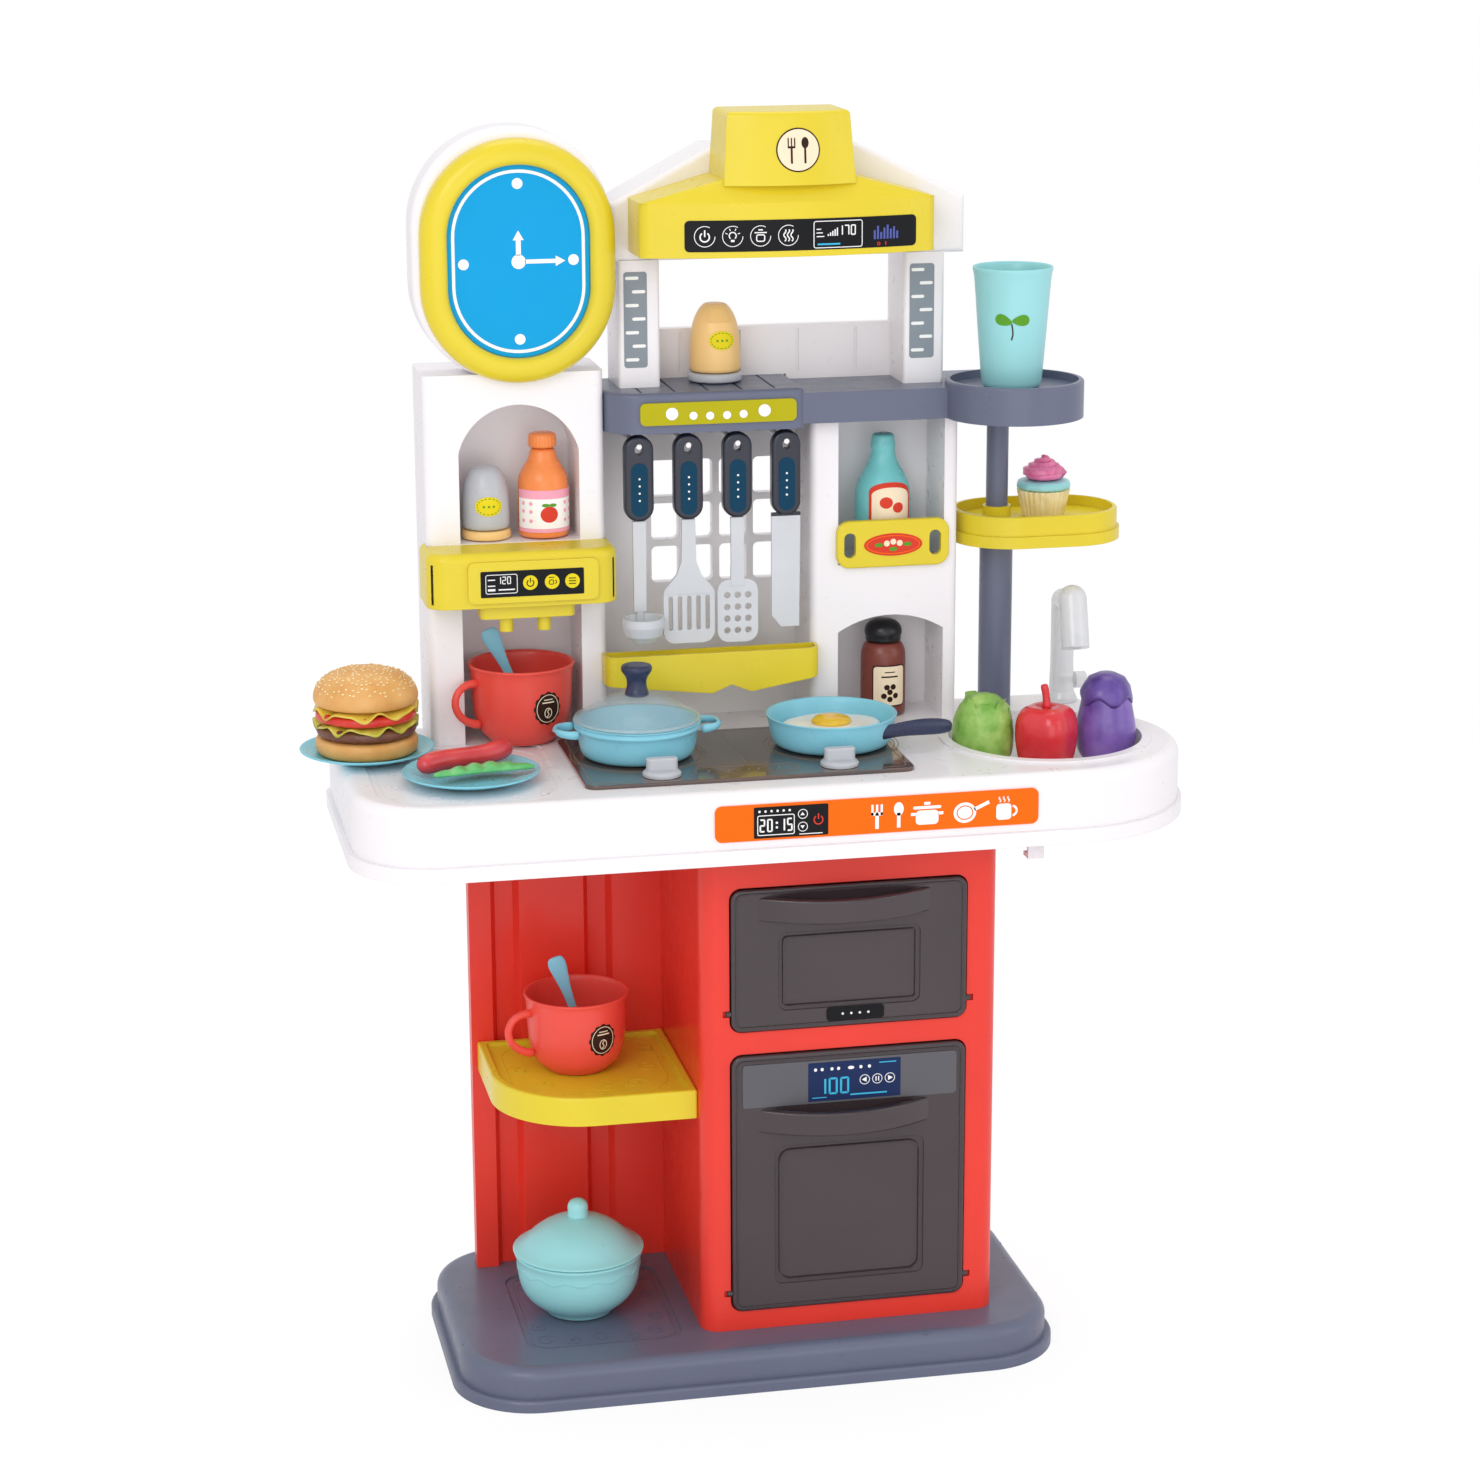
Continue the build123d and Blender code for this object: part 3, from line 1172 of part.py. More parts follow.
def slotted_spoon():
    x = utensil_x(2)
    body = flat_head(x, 31.0, 535.0, 583.0)
    for row in range(4):
        for column in range(3):
            spot_x = x - 8.0 + column * 8.0
            spot_z = 544.0 + row * 9.0
            body = body - rod(2.4, (spot_x, utensil_y - 4.0, spot_z), 8.0, (0, 1, 0))
    return utensil_handle(x) + body


def knife():
    x = utensil_x(3)
    points = Polyline((x - 11.0, 632.0), (x - 11.0, 554.0), (x - 4.0, 545.0), (x + 10.0, 545.0),
                      (x + 11.0, 632.0))
    blade = make_face([*points.edges(), Line((x + 11.0, 632.0), (x - 11.0, 632.0))])
    blade = Pos(0, utensil_y + 1.5, 0) * extrude(Plane.XZ * blade, 3.0)
    return utensil_handle(x) + blade


def screws():
    # Six round-head screws in the rear cover and two in the battery cover.
    heads = []
    for x in (cabinet_left + 12.0, cabinet_right - 12.0):
        for z in (50.0, 230.0, 410.0):
            head = rod(3.2, (x, cabinet_back, z), 1.6, (0, 1, 0))
            shank = rod(1.5, (x, cabinet_back - 10.0, z), 10.5, (0, 1, 0))
            slot = block(x - 2.4, x + 2.4, cabinet_back + 0.9, cabinet_back + 3.0, z - 0.5, z + 0.5)
            slot = slot + block(x - 0.5, x + 0.5, cabinet_back + 0.9, cabinet_back + 3.0, z - 2.4, z + 2.4)
            heads.append(head + shank - slot)
    for x in (-198.0, -132.0):
        head = rod(3.2, (x, -35.0, 419.9), 1.6, (0, 0, 1))
        shank = rod(1.5, (x, -35.0, 420.5), 9.0, (0, 0, 1))
        slot = block(x - 2.4, x + 2.4, -35.5, -34.5, 419.0, 420.6)
        slot = slot + block(x - 0.5, x + 0.5, -37.4, -32.6, 419.0, 420.6)
        heads.append(head + shank - slot)
    return Compound(heads)


save(base_tray(), "base_tray")
save(cabinet_shell(), "cabinet_shell")
save(cavity_shelf(), "cavity_shelf")
save(rear_cover(), "rear_cover")
save(microwave_door(), "microwave_door")
save(oven_door(), "oven_door")
save(ribbed_panel(), "ribbed_panel")
save(side_shelf(), "side_shelf")
save(countertop(), "countertop")
save(sink_basin(), "sink_basin")
save(pump_unit(), "pump_unit")
save(battery_box(), "battery_box")
save(battery_cover(), "battery_cover")
save(sound_module(), "sound_module")
save(hob_plate(), "hob_plate")
save(hob_knob(knob_left_x), "hob_knob_left")
save(hob_knob(knob_right_x), "hob_knob_right")
save(control_strip(), "control_strip")
save(tower_shell(), "tower_shell")
save(clock_ring(), "clock_ring")
save(clock_face(), "clock_face")
save(coffee_unit(), "coffee_unit")
save(nozzle_block(), "nozzle_block")
save(back_panel(), "back_panel")
save(right_column(), "right_column")
save(sauce_holder(), "sauce_holder")
save(top_shelf(), "top_shelf")
save(shelf_trim(), "shelf_trim")
save(hooks(), "hooks")
save(utensil_bin(), "utensil_bin")
save(house_frame(), "house_frame")
save(hood(), "hood")
save(pole(), "pole")
save(pole_shelf(), "pole_shelf")
save(faucet(), "faucet")
save(tap_knob(), "tap_knob")
save(counter_cup(), "counter_cup")
save(shelf_cup(), "shelf_cup")
save(pot(), "pot")
save(pot_lid(), "pot_lid")
save(pan(), "pan")
save(burger_plate(), "burger_plate")
save(serving_plate(), "serving_plate")
save(tumbler(), "tumbler")
save(salt_shaker(), "salt_shaker")
save(shaker(-174.0, 66.0, niche_floor + body_gap, 18.5, 55.0), "sugar_shaker")
save(milk_bottle(), "milk_bottle")
save(sauce_bottle(), "sauce_bottle")
save(shaker(131.0, 72.0, counter_top + body_gap, 17.5, 74.0), "pepper_shaker")
save(cupcake(), "cupcake")
save(cabbage(), "cabbage")
save(red_pepper(), "red_pepper")
save(eggplant(), "eggplant")
save(tureen(), "tureen")
save(tureen_lid(), "tureen_lid")
save(ladle(), "ladle")
save(spatula(), "spatula")
save(slotted_spoon(), "slotted_spoon")
save(knife(), "knife")
save(screws(), "screws")
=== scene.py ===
from math import atan2, cos, hypot, pi, radians, sin, sqrt

import bmesh
import bpy
from mathutils import Matrix, Vector, noise


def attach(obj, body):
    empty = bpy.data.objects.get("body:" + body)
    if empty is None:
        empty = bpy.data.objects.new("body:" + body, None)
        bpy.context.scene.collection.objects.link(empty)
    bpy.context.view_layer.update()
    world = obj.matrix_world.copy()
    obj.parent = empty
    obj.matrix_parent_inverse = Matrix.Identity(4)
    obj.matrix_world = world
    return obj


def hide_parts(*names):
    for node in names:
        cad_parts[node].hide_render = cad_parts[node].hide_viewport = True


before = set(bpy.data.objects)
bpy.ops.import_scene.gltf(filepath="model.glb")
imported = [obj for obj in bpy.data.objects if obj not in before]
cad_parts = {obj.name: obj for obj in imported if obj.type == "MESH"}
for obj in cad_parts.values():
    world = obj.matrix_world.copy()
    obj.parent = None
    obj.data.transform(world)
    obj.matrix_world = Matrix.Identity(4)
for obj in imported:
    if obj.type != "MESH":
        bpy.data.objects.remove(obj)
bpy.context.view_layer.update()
mm = 0.001

# Play kitchen: coloured moulded plastic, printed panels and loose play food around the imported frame.


# Materials

def linear(hexText):
    channels = [int(hexText[i:i + 2], 16) / 255 for i in (1, 3, 5)]
    return [c / 12.92 if c <= 0.04045 else ((c + 0.055) / 1.055) ** 2.4 for c in channels] + [1.0]


def addNode(tree, kind, inputs=None, **settings):
    # an input is a value, or a node and its output
    node = tree.nodes.new(kind)
    for key, value in settings.items():
        setattr(node, key, value)
    for key, value in (inputs or {}).items():
        if isinstance(value, tuple) and len(value) == 2 and hasattr(value[0], "outputs"):
            tree.links.new(value[0].outputs[value[1]], node.inputs[key])
        else:
            node.inputs[key].default_value = value
    return node


def noiseRamp(tree, coords, sizeMm, detail, stops):
    # colours blended over slow noise, each stop a position and a colour
    cloud = addNode(tree, "ShaderNodeTexNoise",
                    {"Vector": (coords, "Object"), "Scale": 1000 / sizeMm, "Detail": detail})
    ramp = addNode(tree, "ShaderNodeValToRGB", {"Fac": (cloud, "Fac")})
    for position, colour in stops[1:-1]:
        ramp.color_ramp.elements.new(position)
    for element, (position, colour) in zip(ramp.color_ramp.elements, stops):
        element.position = position
        element.color = colour
    return ramp, "Color"


def plasticColour(tree, coords, hexText, spread, cloudMm):
    # slow drift of the pigment, as masterbatch colour has in a moulded wall
    base = linear(hexText)[:3]
    low = [c * (1 - spread) for c in base] + [1.0]
    high = [min(c * (1 + spread), 1.0) for c in base] + [1.0]
    return noiseRamp(tree, coords, cloudMm, 2.0, ((0.3, low), (0.7, high)))


def plasticSkin(tree, coords, roughness, grainMm, grainHeight, edgeMm):
    # fine spark texture of the mould in the bump, handling scuffs in the roughness
    scuff = addNode(tree, "ShaderNodeTexNoise", {"Vector": (coords, "Object"), "Scale": 1000 / 14.0,
                                                 "Detail": 5.0, "Roughness": 0.65})
    rough = addNode(tree, "ShaderNodeMapRange", {"Value": (scuff, "Fac"), "From Min": 0.3, "From Max": 0.75,
                                                 "To Min": roughness * 0.85, "To Max": roughness * 1.3})
    grain = addNode(tree, "ShaderNodeTexNoise",
                    {"Vector": (coords, "Object"), "Scale": 1000 / grainMm, "Detail": 2.0})
    edge = addNode(tree, "ShaderNodeBevel", {"Radius": edgeMm * mm}, samples=4)
    bump = addNode(tree, "ShaderNodeBump", {"Height": (grain, "Fac"), "Distance": grainHeight * mm,
                                            "Strength": 0.5, "Normal": (edge, "Normal")})
    return (rough, "Result"), bump


def paintedSkin(tree, coords, poreMm, detail, depthMm):
    # fine pores of cast vinyl
    pores = addNode(tree, "ShaderNodeTexNoise",
                    {"Vector": (coords, "Object"), "Scale": 1000 / poreMm, "Detail": detail})
    return addNode(tree, "ShaderNodeBump",
                   {"Height": (pores, "Fac"), "Distance": depthMm * mm, "Strength": 0.6})


def blankMaterial(name):
    material = bpy.data.materials.new(name)
    material.use_nodes = True
    material.node_tree.nodes.clear()
    return material, material.node_tree


def surface(name, build):
    # build gives base colour, roughness, bump and the other shader values
    material, tree = blankMaterial(name)
    colour, rough, bump, values = build(tree, addNode(tree, "ShaderNodeTexCoord"))
    if bump:
        values = {"Normal": (bump, "Normal"), **values}
    shader = addNode(tree, "ShaderNodeBsdfPrincipled", {"Base Color": colour, "Roughness": rough, **values})
    addNode(tree, "ShaderNodeOutputMaterial", {"Surface": (shader, "BSDF")})
    return material


def mouldedPlastic(name, hexText, roughness=0.3, grainMm=1.1, grainHeight=0.06, coat=0.25, spread=0.035,
                   cloudMm=90.0, edgeMm=0.5, shine=0.35):
    def build(tree, coords):
        return (plasticColour(tree, coords, hexText, spread, cloudMm),
                *plasticSkin(tree, coords, roughness, grainMm, grainHeight, edgeMm),
                {"IOR": 1.5, "Specular IOR Level": shine, "Coat Weight": coat * 0.5,
                 "Coat Roughness": 0.12})
    return surface(name, build)


def splitPlastic(name, lowHex, highHex, heightMm, roughness=0.3):
    # two mouldings pushed together: one colour below a height, the other above it
    def build(tree, coords):
        place = addNode(tree, "ShaderNodeSeparateXYZ", {"Vector": (coords, "Object")})
        above = addNode(tree, "ShaderNodeMath", {0: (place, "Z"), 1: heightMm * mm},
                        operation="GREATER_THAN")
        low, high = (plasticColour(tree, coords, text, 0.03, 40.0) for text in (lowHex, highHex))
        mix = addNode(tree, "ShaderNodeMix", {0: (above, 0), 6: low, 7: high}, data_type="RGBA")
        return ((mix, 2), *plasticSkin(tree, coords, roughness, 1.0, 0.05, 0.7),
                {"IOR": 1.5, "Coat Weight": 0.2, "Coat Roughness": 0.15})
    return surface(name, build)


def printedVinyl(name, hexText, roughness=0.38):
    # sticker film: flat even ink under a thin clear film
    return mouldedPlastic(name, hexText, roughness, 2.2, 0.015, 0.06, 0.015, 30.0, 0.1, 0.12)


plastic = {
    "white": ("white_plastic", mouldedPlastic("whiteAbsMoulded", "#F1EEF0", 0.30, 1.3, 0.05, 0.3, 0.012)),
    "red": ("red_plastic", mouldedPlastic("redPolypropyleneMoulded", "#E83A2C", 0.33, 1.3, 0.06, 0.25,
                                          0.04)),
    "lime": ("lime_plastic", mouldedPlastic("limeAbsMoulded", "#E0CB2C", 0.30, 1.2, 0.05, 0.3, 0.035)),
    "slate": ("slate_plastic", mouldedPlastic("slateAbsMoulded", "#646A7F", 0.32, 1.2, 0.05, 0.3, 0.04)),
    "coral": ("coral_plastic", mouldedPlastic("coralPolypropyleneMoulded", "#EA5044", 0.34, 1.0, 0.05,
                                              0.25)),
    "aqua": ("pot_blue", mouldedPlastic("aquaPolypropyleneMoulded", "#86CCDF", 0.30, 1.0, 0.04, 0.3)),
    "aquaPale": ("turquoise_plastic", mouldedPlastic("paleAquaPolypropyleneMoulded", "#97D5D8", 0.32, 1.0,
                                                     0.04, 0.25)),
    "aquaPlate": ("plate_blue", mouldedPlastic("aquaPlateMoulded", "#7CCBDC", 0.28, 1.0, 0.03, 0.3)),
    "spoon": ("plate_blue", mouldedPlastic("skySpoonMoulded", "#7FC0D6", 0.32, 0.8, 0.03, 0.2)),
    "navy": ("navy_plastic", mouldedPlastic("navyAbsMoulded", "#2B3350", 0.28, 0.9, 0.03, 0.35)),
    "silver": ("sugar_silver", mouldedPlastic("silverAbsMoulded", "#B9BCC2", 0.3, 0.8, 0.03, 0.3)),
    "grey": ("grey_plastic", mouldedPlastic("greyAbsMoulded", "#8C9096", 0.42, 1.2, 0.07, 0.1)),
    "black": ("black_plastic", mouldedPlastic("blackAbsMoulded", "#1B1C20", 0.32, 1.0, 0.04, 0.3)),
    "salt": ("salt_yellow", mouldedPlastic("creamShakerMoulded", "#F3C984", 0.32, 0.9, 0.03, 0.25)),
    "orange": ("milk_orange", mouldedPlastic("orangeBottleMoulded", "#F08A48", 0.26, 0.9, 0.03, 0.35)),
    "sauce": ("sauce_turquoise", mouldedPlastic("seaGreenBottleMoulded", "#74C5C6", 0.28, 0.9, 0.03, 0.3)),
    "pepper": ("pepper_brown", mouldedPlastic("brownJarMoulded", "#7E3D33", 0.3, 0.9, 0.03, 0.3)),
    "bandGrey": ("grey_plastic", mouldedPlastic("bandGreySatin", "#5A5A5F", 0.36, 1.1, 0.04, 0.3)),
}
vinyl = {
    "black": ("black_plastic", printedVinyl("blackPanelVinyl", "#17181B")),
    "white": ("white_plastic", printedVinyl("whiteInkVinyl", "#F7F7F5")),
    "grey": ("grey_plastic", printedVinyl("greyGaugeVinyl", "#8B959D")),
    "olive": ("lime_label", printedVinyl("oliveTrimVinyl", "#B6AE14")),
    "blue": ("clock_blue", printedVinyl("clockBlueVinyl", "#0A9FDB")),
    "screen": ("clock_blue", printedVinyl("screenBlueVinyl", "#1E2E57")),
    "cyan": ("clock_blue", printedVinyl("cyanInkVinyl", "#3FB8E0")),
    "violet": ("clock_blue", printedVinyl("violetInkVinyl", "#5560A8")),
    "red": ("red_plastic", printedVinyl("redInkVinyl", "#D8402E")),
    "orange": ("orange_plastic", printedVinyl("orangeStripVinyl", "#FA6A08")),
    "teal": ("navy_plastic", printedVinyl("tealInlayVinyl", "#083C57")),
    "yellow": ("salt_yellow", printedVinyl("yellowLabelVinyl", "#E5D21E")),
    "brown": ("pepper_brown", printedVinyl("brownBadgeVinyl", "#33201A")),
    "cream": ("cake_cream", printedVinyl("creamLabelVinyl", "#F6E3C4")),
    "pink": ("coral_plastic", printedVinyl("pinkLabelVinyl", "#F2A7BD")),
    "leaf": ("cabbage_green", printedVinyl("leafGreenVinyl", "#5B9B2C")),
    "hobInk": ("grey_plastic", printedVinyl("bronzeHobInk", "#8A7A66")),
}


def glassyPlastic(name, hexText, drift, skin, values):
    # see-through moulding: drift is the colour spread and its size, skin as in plasticSkin
    def build(tree, coords):
        return plasticColour(tree, coords, hexText, *drift), *plasticSkin(tree, coords, *skin), values
    return surface(name, build)


def clearPolystyrene(name, hexText, alpha):
    # thin clear moulding, seen mostly by its highlights
    return glassyPlastic(name, hexText, (0.03, 30.0), (0.1, 2.0, 0.02, 0.6),
                         {"IOR": 1.5, "Alpha": alpha, "Coat Weight": 0.6, "Coat Roughness": 0.05})


def smokedPolycarbonate():
    # brown-grey: dark where thick, a little of the cavity shows behind it
    return glassyPlastic("smokedPolycarbonateMoulded", "#3D3235", (0.10, 120.0), (0.2, 3.0, 0.02, 1.0),
                         {"IOR": 1.58, "Alpha": 0.92, "Coat Weight": 0.2, "Coat Roughness": 0.06})


def hobGlass():
    # dark printed plate, warmer in the middle where the print fades to copper
    def build(tree, coords):
        stops = [(at, linear(text)) for at, text in ((0.38, "#3A3234"), (0.52, "#5A4238"),
                                                     (0.66, "#33363C"))]
        return (noiseRamp(tree, coords, 130.0, 1.0, stops), *plasticSkin(tree, coords, 0.16, 2.0, 0.01,
                0.8),
                {"IOR": 1.5, "Coat Weight": 0.8, "Coat Roughness": 0.04})
    return surface("printedHobAcrylic", build)


def platedSteel():
    # zinc plated screw: bright with a faint drawn grain
    def build(tree, coords):
        grain = addNode(tree, "ShaderNodeTexNoise", {"Vector": (coords, "Object"), "Scale": 1000 / 0.9})
        rough = addNode(tree, "ShaderNodeMapRange", {"Value": (grain, "Fac"), "To Min": 0.25,
                                                     "To Max": 0.45})
        return linear("#B4B8BC"), (rough, "Result"), None, {"Metallic": 1.0}
    return surface("zincPlatedSteel", build)


def bakedBun():
    # soft vinyl painted like baked bread: golden top fading to a pale side, fine pores
    def build(tree, coords):
        stops = ((0.3, linear("#D69A50")), (0.75, linear("#E9B671")))
        return (noiseRamp(tree, coords, 22.0, 4.0, stops), 0.55, paintedSkin(tree, coords, 1.6, 3.0, 0.4),
                {"Subsurface Weight": 0.08, "Subsurface Radius": (0.004, 0.002, 0.001)})
    return surface("bunVinylPainted", build)


def softVinyl(name, lowHex, highHex, patchMm, poreMm, poreHeight, roughness=0.45):
    # play food cast in soft vinyl, sprayed in two tones
    def build(tree, coords):
        stops = ((0.34, linear(lowHex)), (0.68, linear(highHex)))
        return (noiseRamp(tree, coords, patchMm, 3.0, stops), roughness,
                paintedSkin(tree, coords, poreMm, 2.0, poreHeight),
                {"Coat Weight": 0.2, "Coat Roughness": 0.2})
    return surface(name, build)


special = {
    "smoked": ("smoked_plastic", smokedPolycarbonate()),
    "clear": ("clear_plastic", clearPolystyrene("clearPolystyreneMoulded", "#DCE8EC", 0.16)),
    "frost": ("clear_plastic", clearPolystyrene("frostedPolystyreneMoulded", "#E4E6E8", 0.72)),
    "hob": ("black_plastic", hobGlass()),
    "steel": ("screw_steel", platedSteel()),
    "bun": ("salt_yellow", bakedBun()),
    "patty": ("pepper_brown", softVinyl("pattyVinylPainted", "#5E3323", "#7C4833", 9.0, 2.5, 0.8)),
    "tomato": ("red_plastic", softVinyl("tomatoVinylPainted", "#C9201D", "#DD3A2C", 15.0, 1.5, 0.1, 0.3)),
    "cheese": ("lime_plastic", softVinyl("cheeseVinylPainted", "#D9B93A", "#E8CF55", 18.0, 2.0, 0.1, 0.35)),
    "lettuce": ("lime_plastic", softVinyl("lettuceVinylPainted", "#B4B632", "#D9CF58", 8.0, 1.5, 0.2, 0.4)),
    "sausage": ("red_plastic", softVinyl("sausageVinylPainted", "#C9333A", "#DB4348", 20.0, 1.5, 0.05,
                                         0.25)),
    "peas": ("cabbage_green", softVinyl("peaVinylPainted", "#4FAE5F", "#74C97A", 12.0, 1.2, 0.1, 0.35)),
    "cabbage": ("cabbage_green", softVinyl("cabbageVinylPainted", "#6FA83A", "#A5CB6A", 14.0, 1.6, 0.3,
                                           0.5)),
    "capsicum": ("pepper_red", softVinyl("capsicumVinylPainted", "#CF1F2C", "#E23A40", 24.0, 1.5, 0.05,
                                         0.22)),
    "aubergine": ("aubergine_purple", softVinyl("aubergineVinylPainted", "#5C3F93", "#8366B8", 26.0, 1.5,
                                                0.05, 0.25)),
    "aubergineCap": ("aubergine_purple", softVinyl("aubergineCapVinylPainted", "#4B3182", "#6A4BA3", 12.0,
                                                   1.2, 0.1, 0.3)),
    "eggWhite": ("white_plastic", softVinyl("eggWhiteVinylPainted", "#EDEBE2", "#F8F6EF", 16.0, 2.0, 0.05,
                                            0.28)),
    "yolk": ("salt_yellow", softVinyl("yolkVinylPainted", "#E7B31C", "#F3C834", 12.0, 2.0, 0.03, 0.2)),
    "icing": ("coral_plastic", softVinyl("icingVinylPainted", "#D95E93", "#EC86B0", 6.0, 1.2, 0.25, 0.4)),
    "cakeCase": ("cake_cream", softVinyl("pleatedCaseVinyl", "#E9D59A", "#F7E8BC", 10.0, 1.2, 0.08, 0.45)),
    "utensilA": ("silver_plastic", splitPlastic("utensilMoulded", "#CDD0D4", "#1C2030", 629.5)),
    "shaft": ("silver_plastic", mouldedPlastic("utensilShaftMoulded", "#CDD0D4", 0.34, 0.9, 0.03, 0.2)),
}
print("materials", len(plastic) + len(vinyl) + len(special))


# Mesh helpers, all in millimetres

def addObject(name, mesh, body=None):
    # links the object to the scene and hangs it under its body; a finish elsewhere is the record's material
    # slot name and the material
    obj = bpy.data.objects.new(name, mesh)
    bpy.context.scene.collection.objects.link(obj)
    if body:
        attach(obj, body)
    return obj


def meshObject(name, vertices, faces, body=None, finish=(None, None), smooth=True):
    mesh = bpy.data.meshes.new(name)
    mesh.from_pydata([(x * mm, y * mm, z * mm) for x, y, z in vertices], [], faces)
    for polygon in mesh.polygons:
        polygon.use_smooth = smooth
    mesh.materials.append(finish[1])
    return addObject(name, mesh, body)


def tidyNormals(obj):
    bm = bmesh.new()
    bm.from_mesh(obj.data)
    bmesh.ops.remove_doubles(bm, verts=bm.verts, dist=0.00001)
    bmesh.ops.recalc_face_normals(bm, faces=bm.faces)
    bm.to_mesh(obj.data)
    bm.free()
    return obj


def subdivide(obj, levels):
    modifier = obj.modifiers.new("round", "SUBSURF")
    modifier.levels = modifier.render_levels = levels
    return obj


def lathed(name, profile, centre, body, finish, steps=48, levels=1, bend=None, replaces=None):
    # profile: (radius, height) from the bottom axis point round to the top or inner axis point
    vertices, faces, rings = [], [], []
    for radius, height in profile:
        if radius <= 0.001:
            rings.append([len(vertices)])
            vertices.append((centre[0], centre[1], centre[2] + height))
            continue
        ring = []
        for step in range(steps):
            angle = 2 * pi * step / steps
            r = radius if bend is None else radius * bend(angle, radius, height)
            ring.append(len(vertices))
            vertices.append((centre[0] + r * cos(angle), centre[1] + r * sin(angle), centre[2] + height))
        rings.append(ring)
    for a, b in zip(rings, rings[1:]):
        for step in range(steps):
            nxt = (step + 1) % steps
            if len(a) == 1 and len(b) > 1:
                faces.append((a[0], b[nxt], b[step]))
            elif len(b) == 1 and len(a) > 1:
                faces.append((a[step], a[nxt], b[0]))
            elif len(a) > 1:
                faces.append((a[step], a[nxt], b[nxt], b[step]))
    obj = tidyNormals(meshObject(name, vertices, faces, body, finish))
    if levels:
        subdivide(obj, levels)
    if replaces:
        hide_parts(replaces)
    return obj


def roundedRect(x0, x1, z0, z1, radius, steps=6):
    points = []
    corners = ((x1 - radius, z1 - radius, 0), (x0 + radius, z1 - radius, 90), (x0 + radius, z0 + radius,
            180),
               (x1 - radius, z0 + radius, 270))
    for cx, cz, start in corners:
        for step in range(steps + 1):
            angle = radians(start + 90 * step / steps)
            points.append((cx + radius * cos(angle), cz + radius * sin(angle)))
    return points


def ellipse(cx, cz, rx, rz, steps=36):
    angles = [radians(360.0 * i / steps) for i in range(steps)]
    return [(cx + rx * cos(angle), cz + rz * sin(angle)) for angle in angles]


def bar(x0, z0, x1, z1, width):
    # straight stroke with square ends
    length = hypot(x1 - x0, z1 - z0)
    nx, nz = -(z1 - z0) / length * width / 2, (x1 - x0) / length * width / 2
    return [(x0 - nx, z0 - nz), (x1 - nx, z1 - nz), (x1 + nx, z1 + nz), (x0 + nx, z0 + nz)]


def path(points, width):
    # strokes along a list of points, one bar per run
    return [bar(*a, *b, width) for a, b in zip(points, points[1:])]


def band(outer, inner):
    # closed outline made of short quads between two loops of equal length
    count = len(outer)
    return [[outer[i], outer[(i + 1) % count], inner[(i + 1) % count], inner[i]] for i in range(count)]


def beadLoop(x0, x1, z0, z1, radius, width, steps=6):
    # rounded frame of one width
    inner = roundedRect(x0 + width, x1 - width, z0 + width, z1 - width, max(radius - width, 0.3), steps)
    return band(roundedRect(x0, x1, z0, z1, radius, steps), inner)


def circle(cx, cz, radius, width, steps):
    # thin round line of one width
    return band(ellipse(cx, cz, radius, radius, steps), ellipse(cx, cz, radius - width, radius - width,
                                                                steps))


def tubeFaces(rings, sides):
    # skin of a tube of point rings, closed at both ends
    faces = []
    for i in range(rings - 1):
        for k in range(sides):
            n = (k + 1) % sides
            faces.append((i * sides + k, i * sides + n, (i + 1) * sides + n, (i + 1) * sides + k))
    return faces + [tuple(range(sides)), tuple((rings - 1) * sides + k for k in range(sides))]


def arcBand(cx, cz, radius, width, start, sweep, steps=20):
    angles = [radians(start + sweep * i / steps) for i in range(steps + 1)]
    outer, inner = [[(cx + r * cos(angle), cz + r * sin(angle)) for angle in angles]
                    for r in (radius + width / 2, radius - width / 2)]
    return [[outer[i], outer[i + 1], inner[i + 1], inner[i]] for i in range(steps)]


segmentsOf = {"0": "abcdef", "1": "bc", "2": "abged", "3": "abgcd", "4": "fgbc", "5": "afgcd",
              "6": "afgedc", "7": "abc", "8": "abcdefg", "9": "abcdfg"}


def digits(text, x, z, height, width=None):
    # seven-segment figures, as on a clock display
    width = width or height * 0.52
    stroke = height * 0.13
    shapes = []
    for character in text:
        if character == ":":
            shapes += [ellipse(x + stroke, z + height * t, stroke * 0.8, stroke * 0.8, 10)
                       for t in (0.3, 0.7)]
            x += stroke * 3.2
            continue
        ends = {"a": (0, 1, 1, 1), "b": (1, 1, 1, 0.5), "c": (1, 0.5, 1, 0), "d": (0, 0, 1, 0),
                "e": (0, 0, 0, 0.5), "f": (0, 0.5, 0, 1), "g": (0, 0.5, 1, 0.5)}
        for part in segmentsOf[character]:
            x0, z0, x1, z1 = ends[part]
            shapes.append(bar(x + x0 * width, z + z0 * height, x + x1 * width, z + z1 * height, stroke))
        x += width + stroke * 2.2
    return shapes


def onFront(y):
    return lambda u, v, d: (u, y - d, v)


def onTop(z):
    return lambda u, v, d: (u, v, z + d)


def onRound(cx, cy, radiusAt, facing):
    # wraps round an upright axis: u is arc length from the facing angle, v is height
    def place(u, v, d):
        radius = radiusAt(v)
        angle = radians(facing) + u / radius
        return (cx + (radius + d) * cos(angle), cy + (radius + d) * sin(angle), v)
    return place


def onBow(middle, front, half, rise):
    # wraps on a face that bows forward in the middle
    radius = (half * half + rise * rise) / (2 * rise)
    return lambda u, v, d: (u, front + radius - sqrt(radius * radius - (u - middle) ** 2) - d, v)


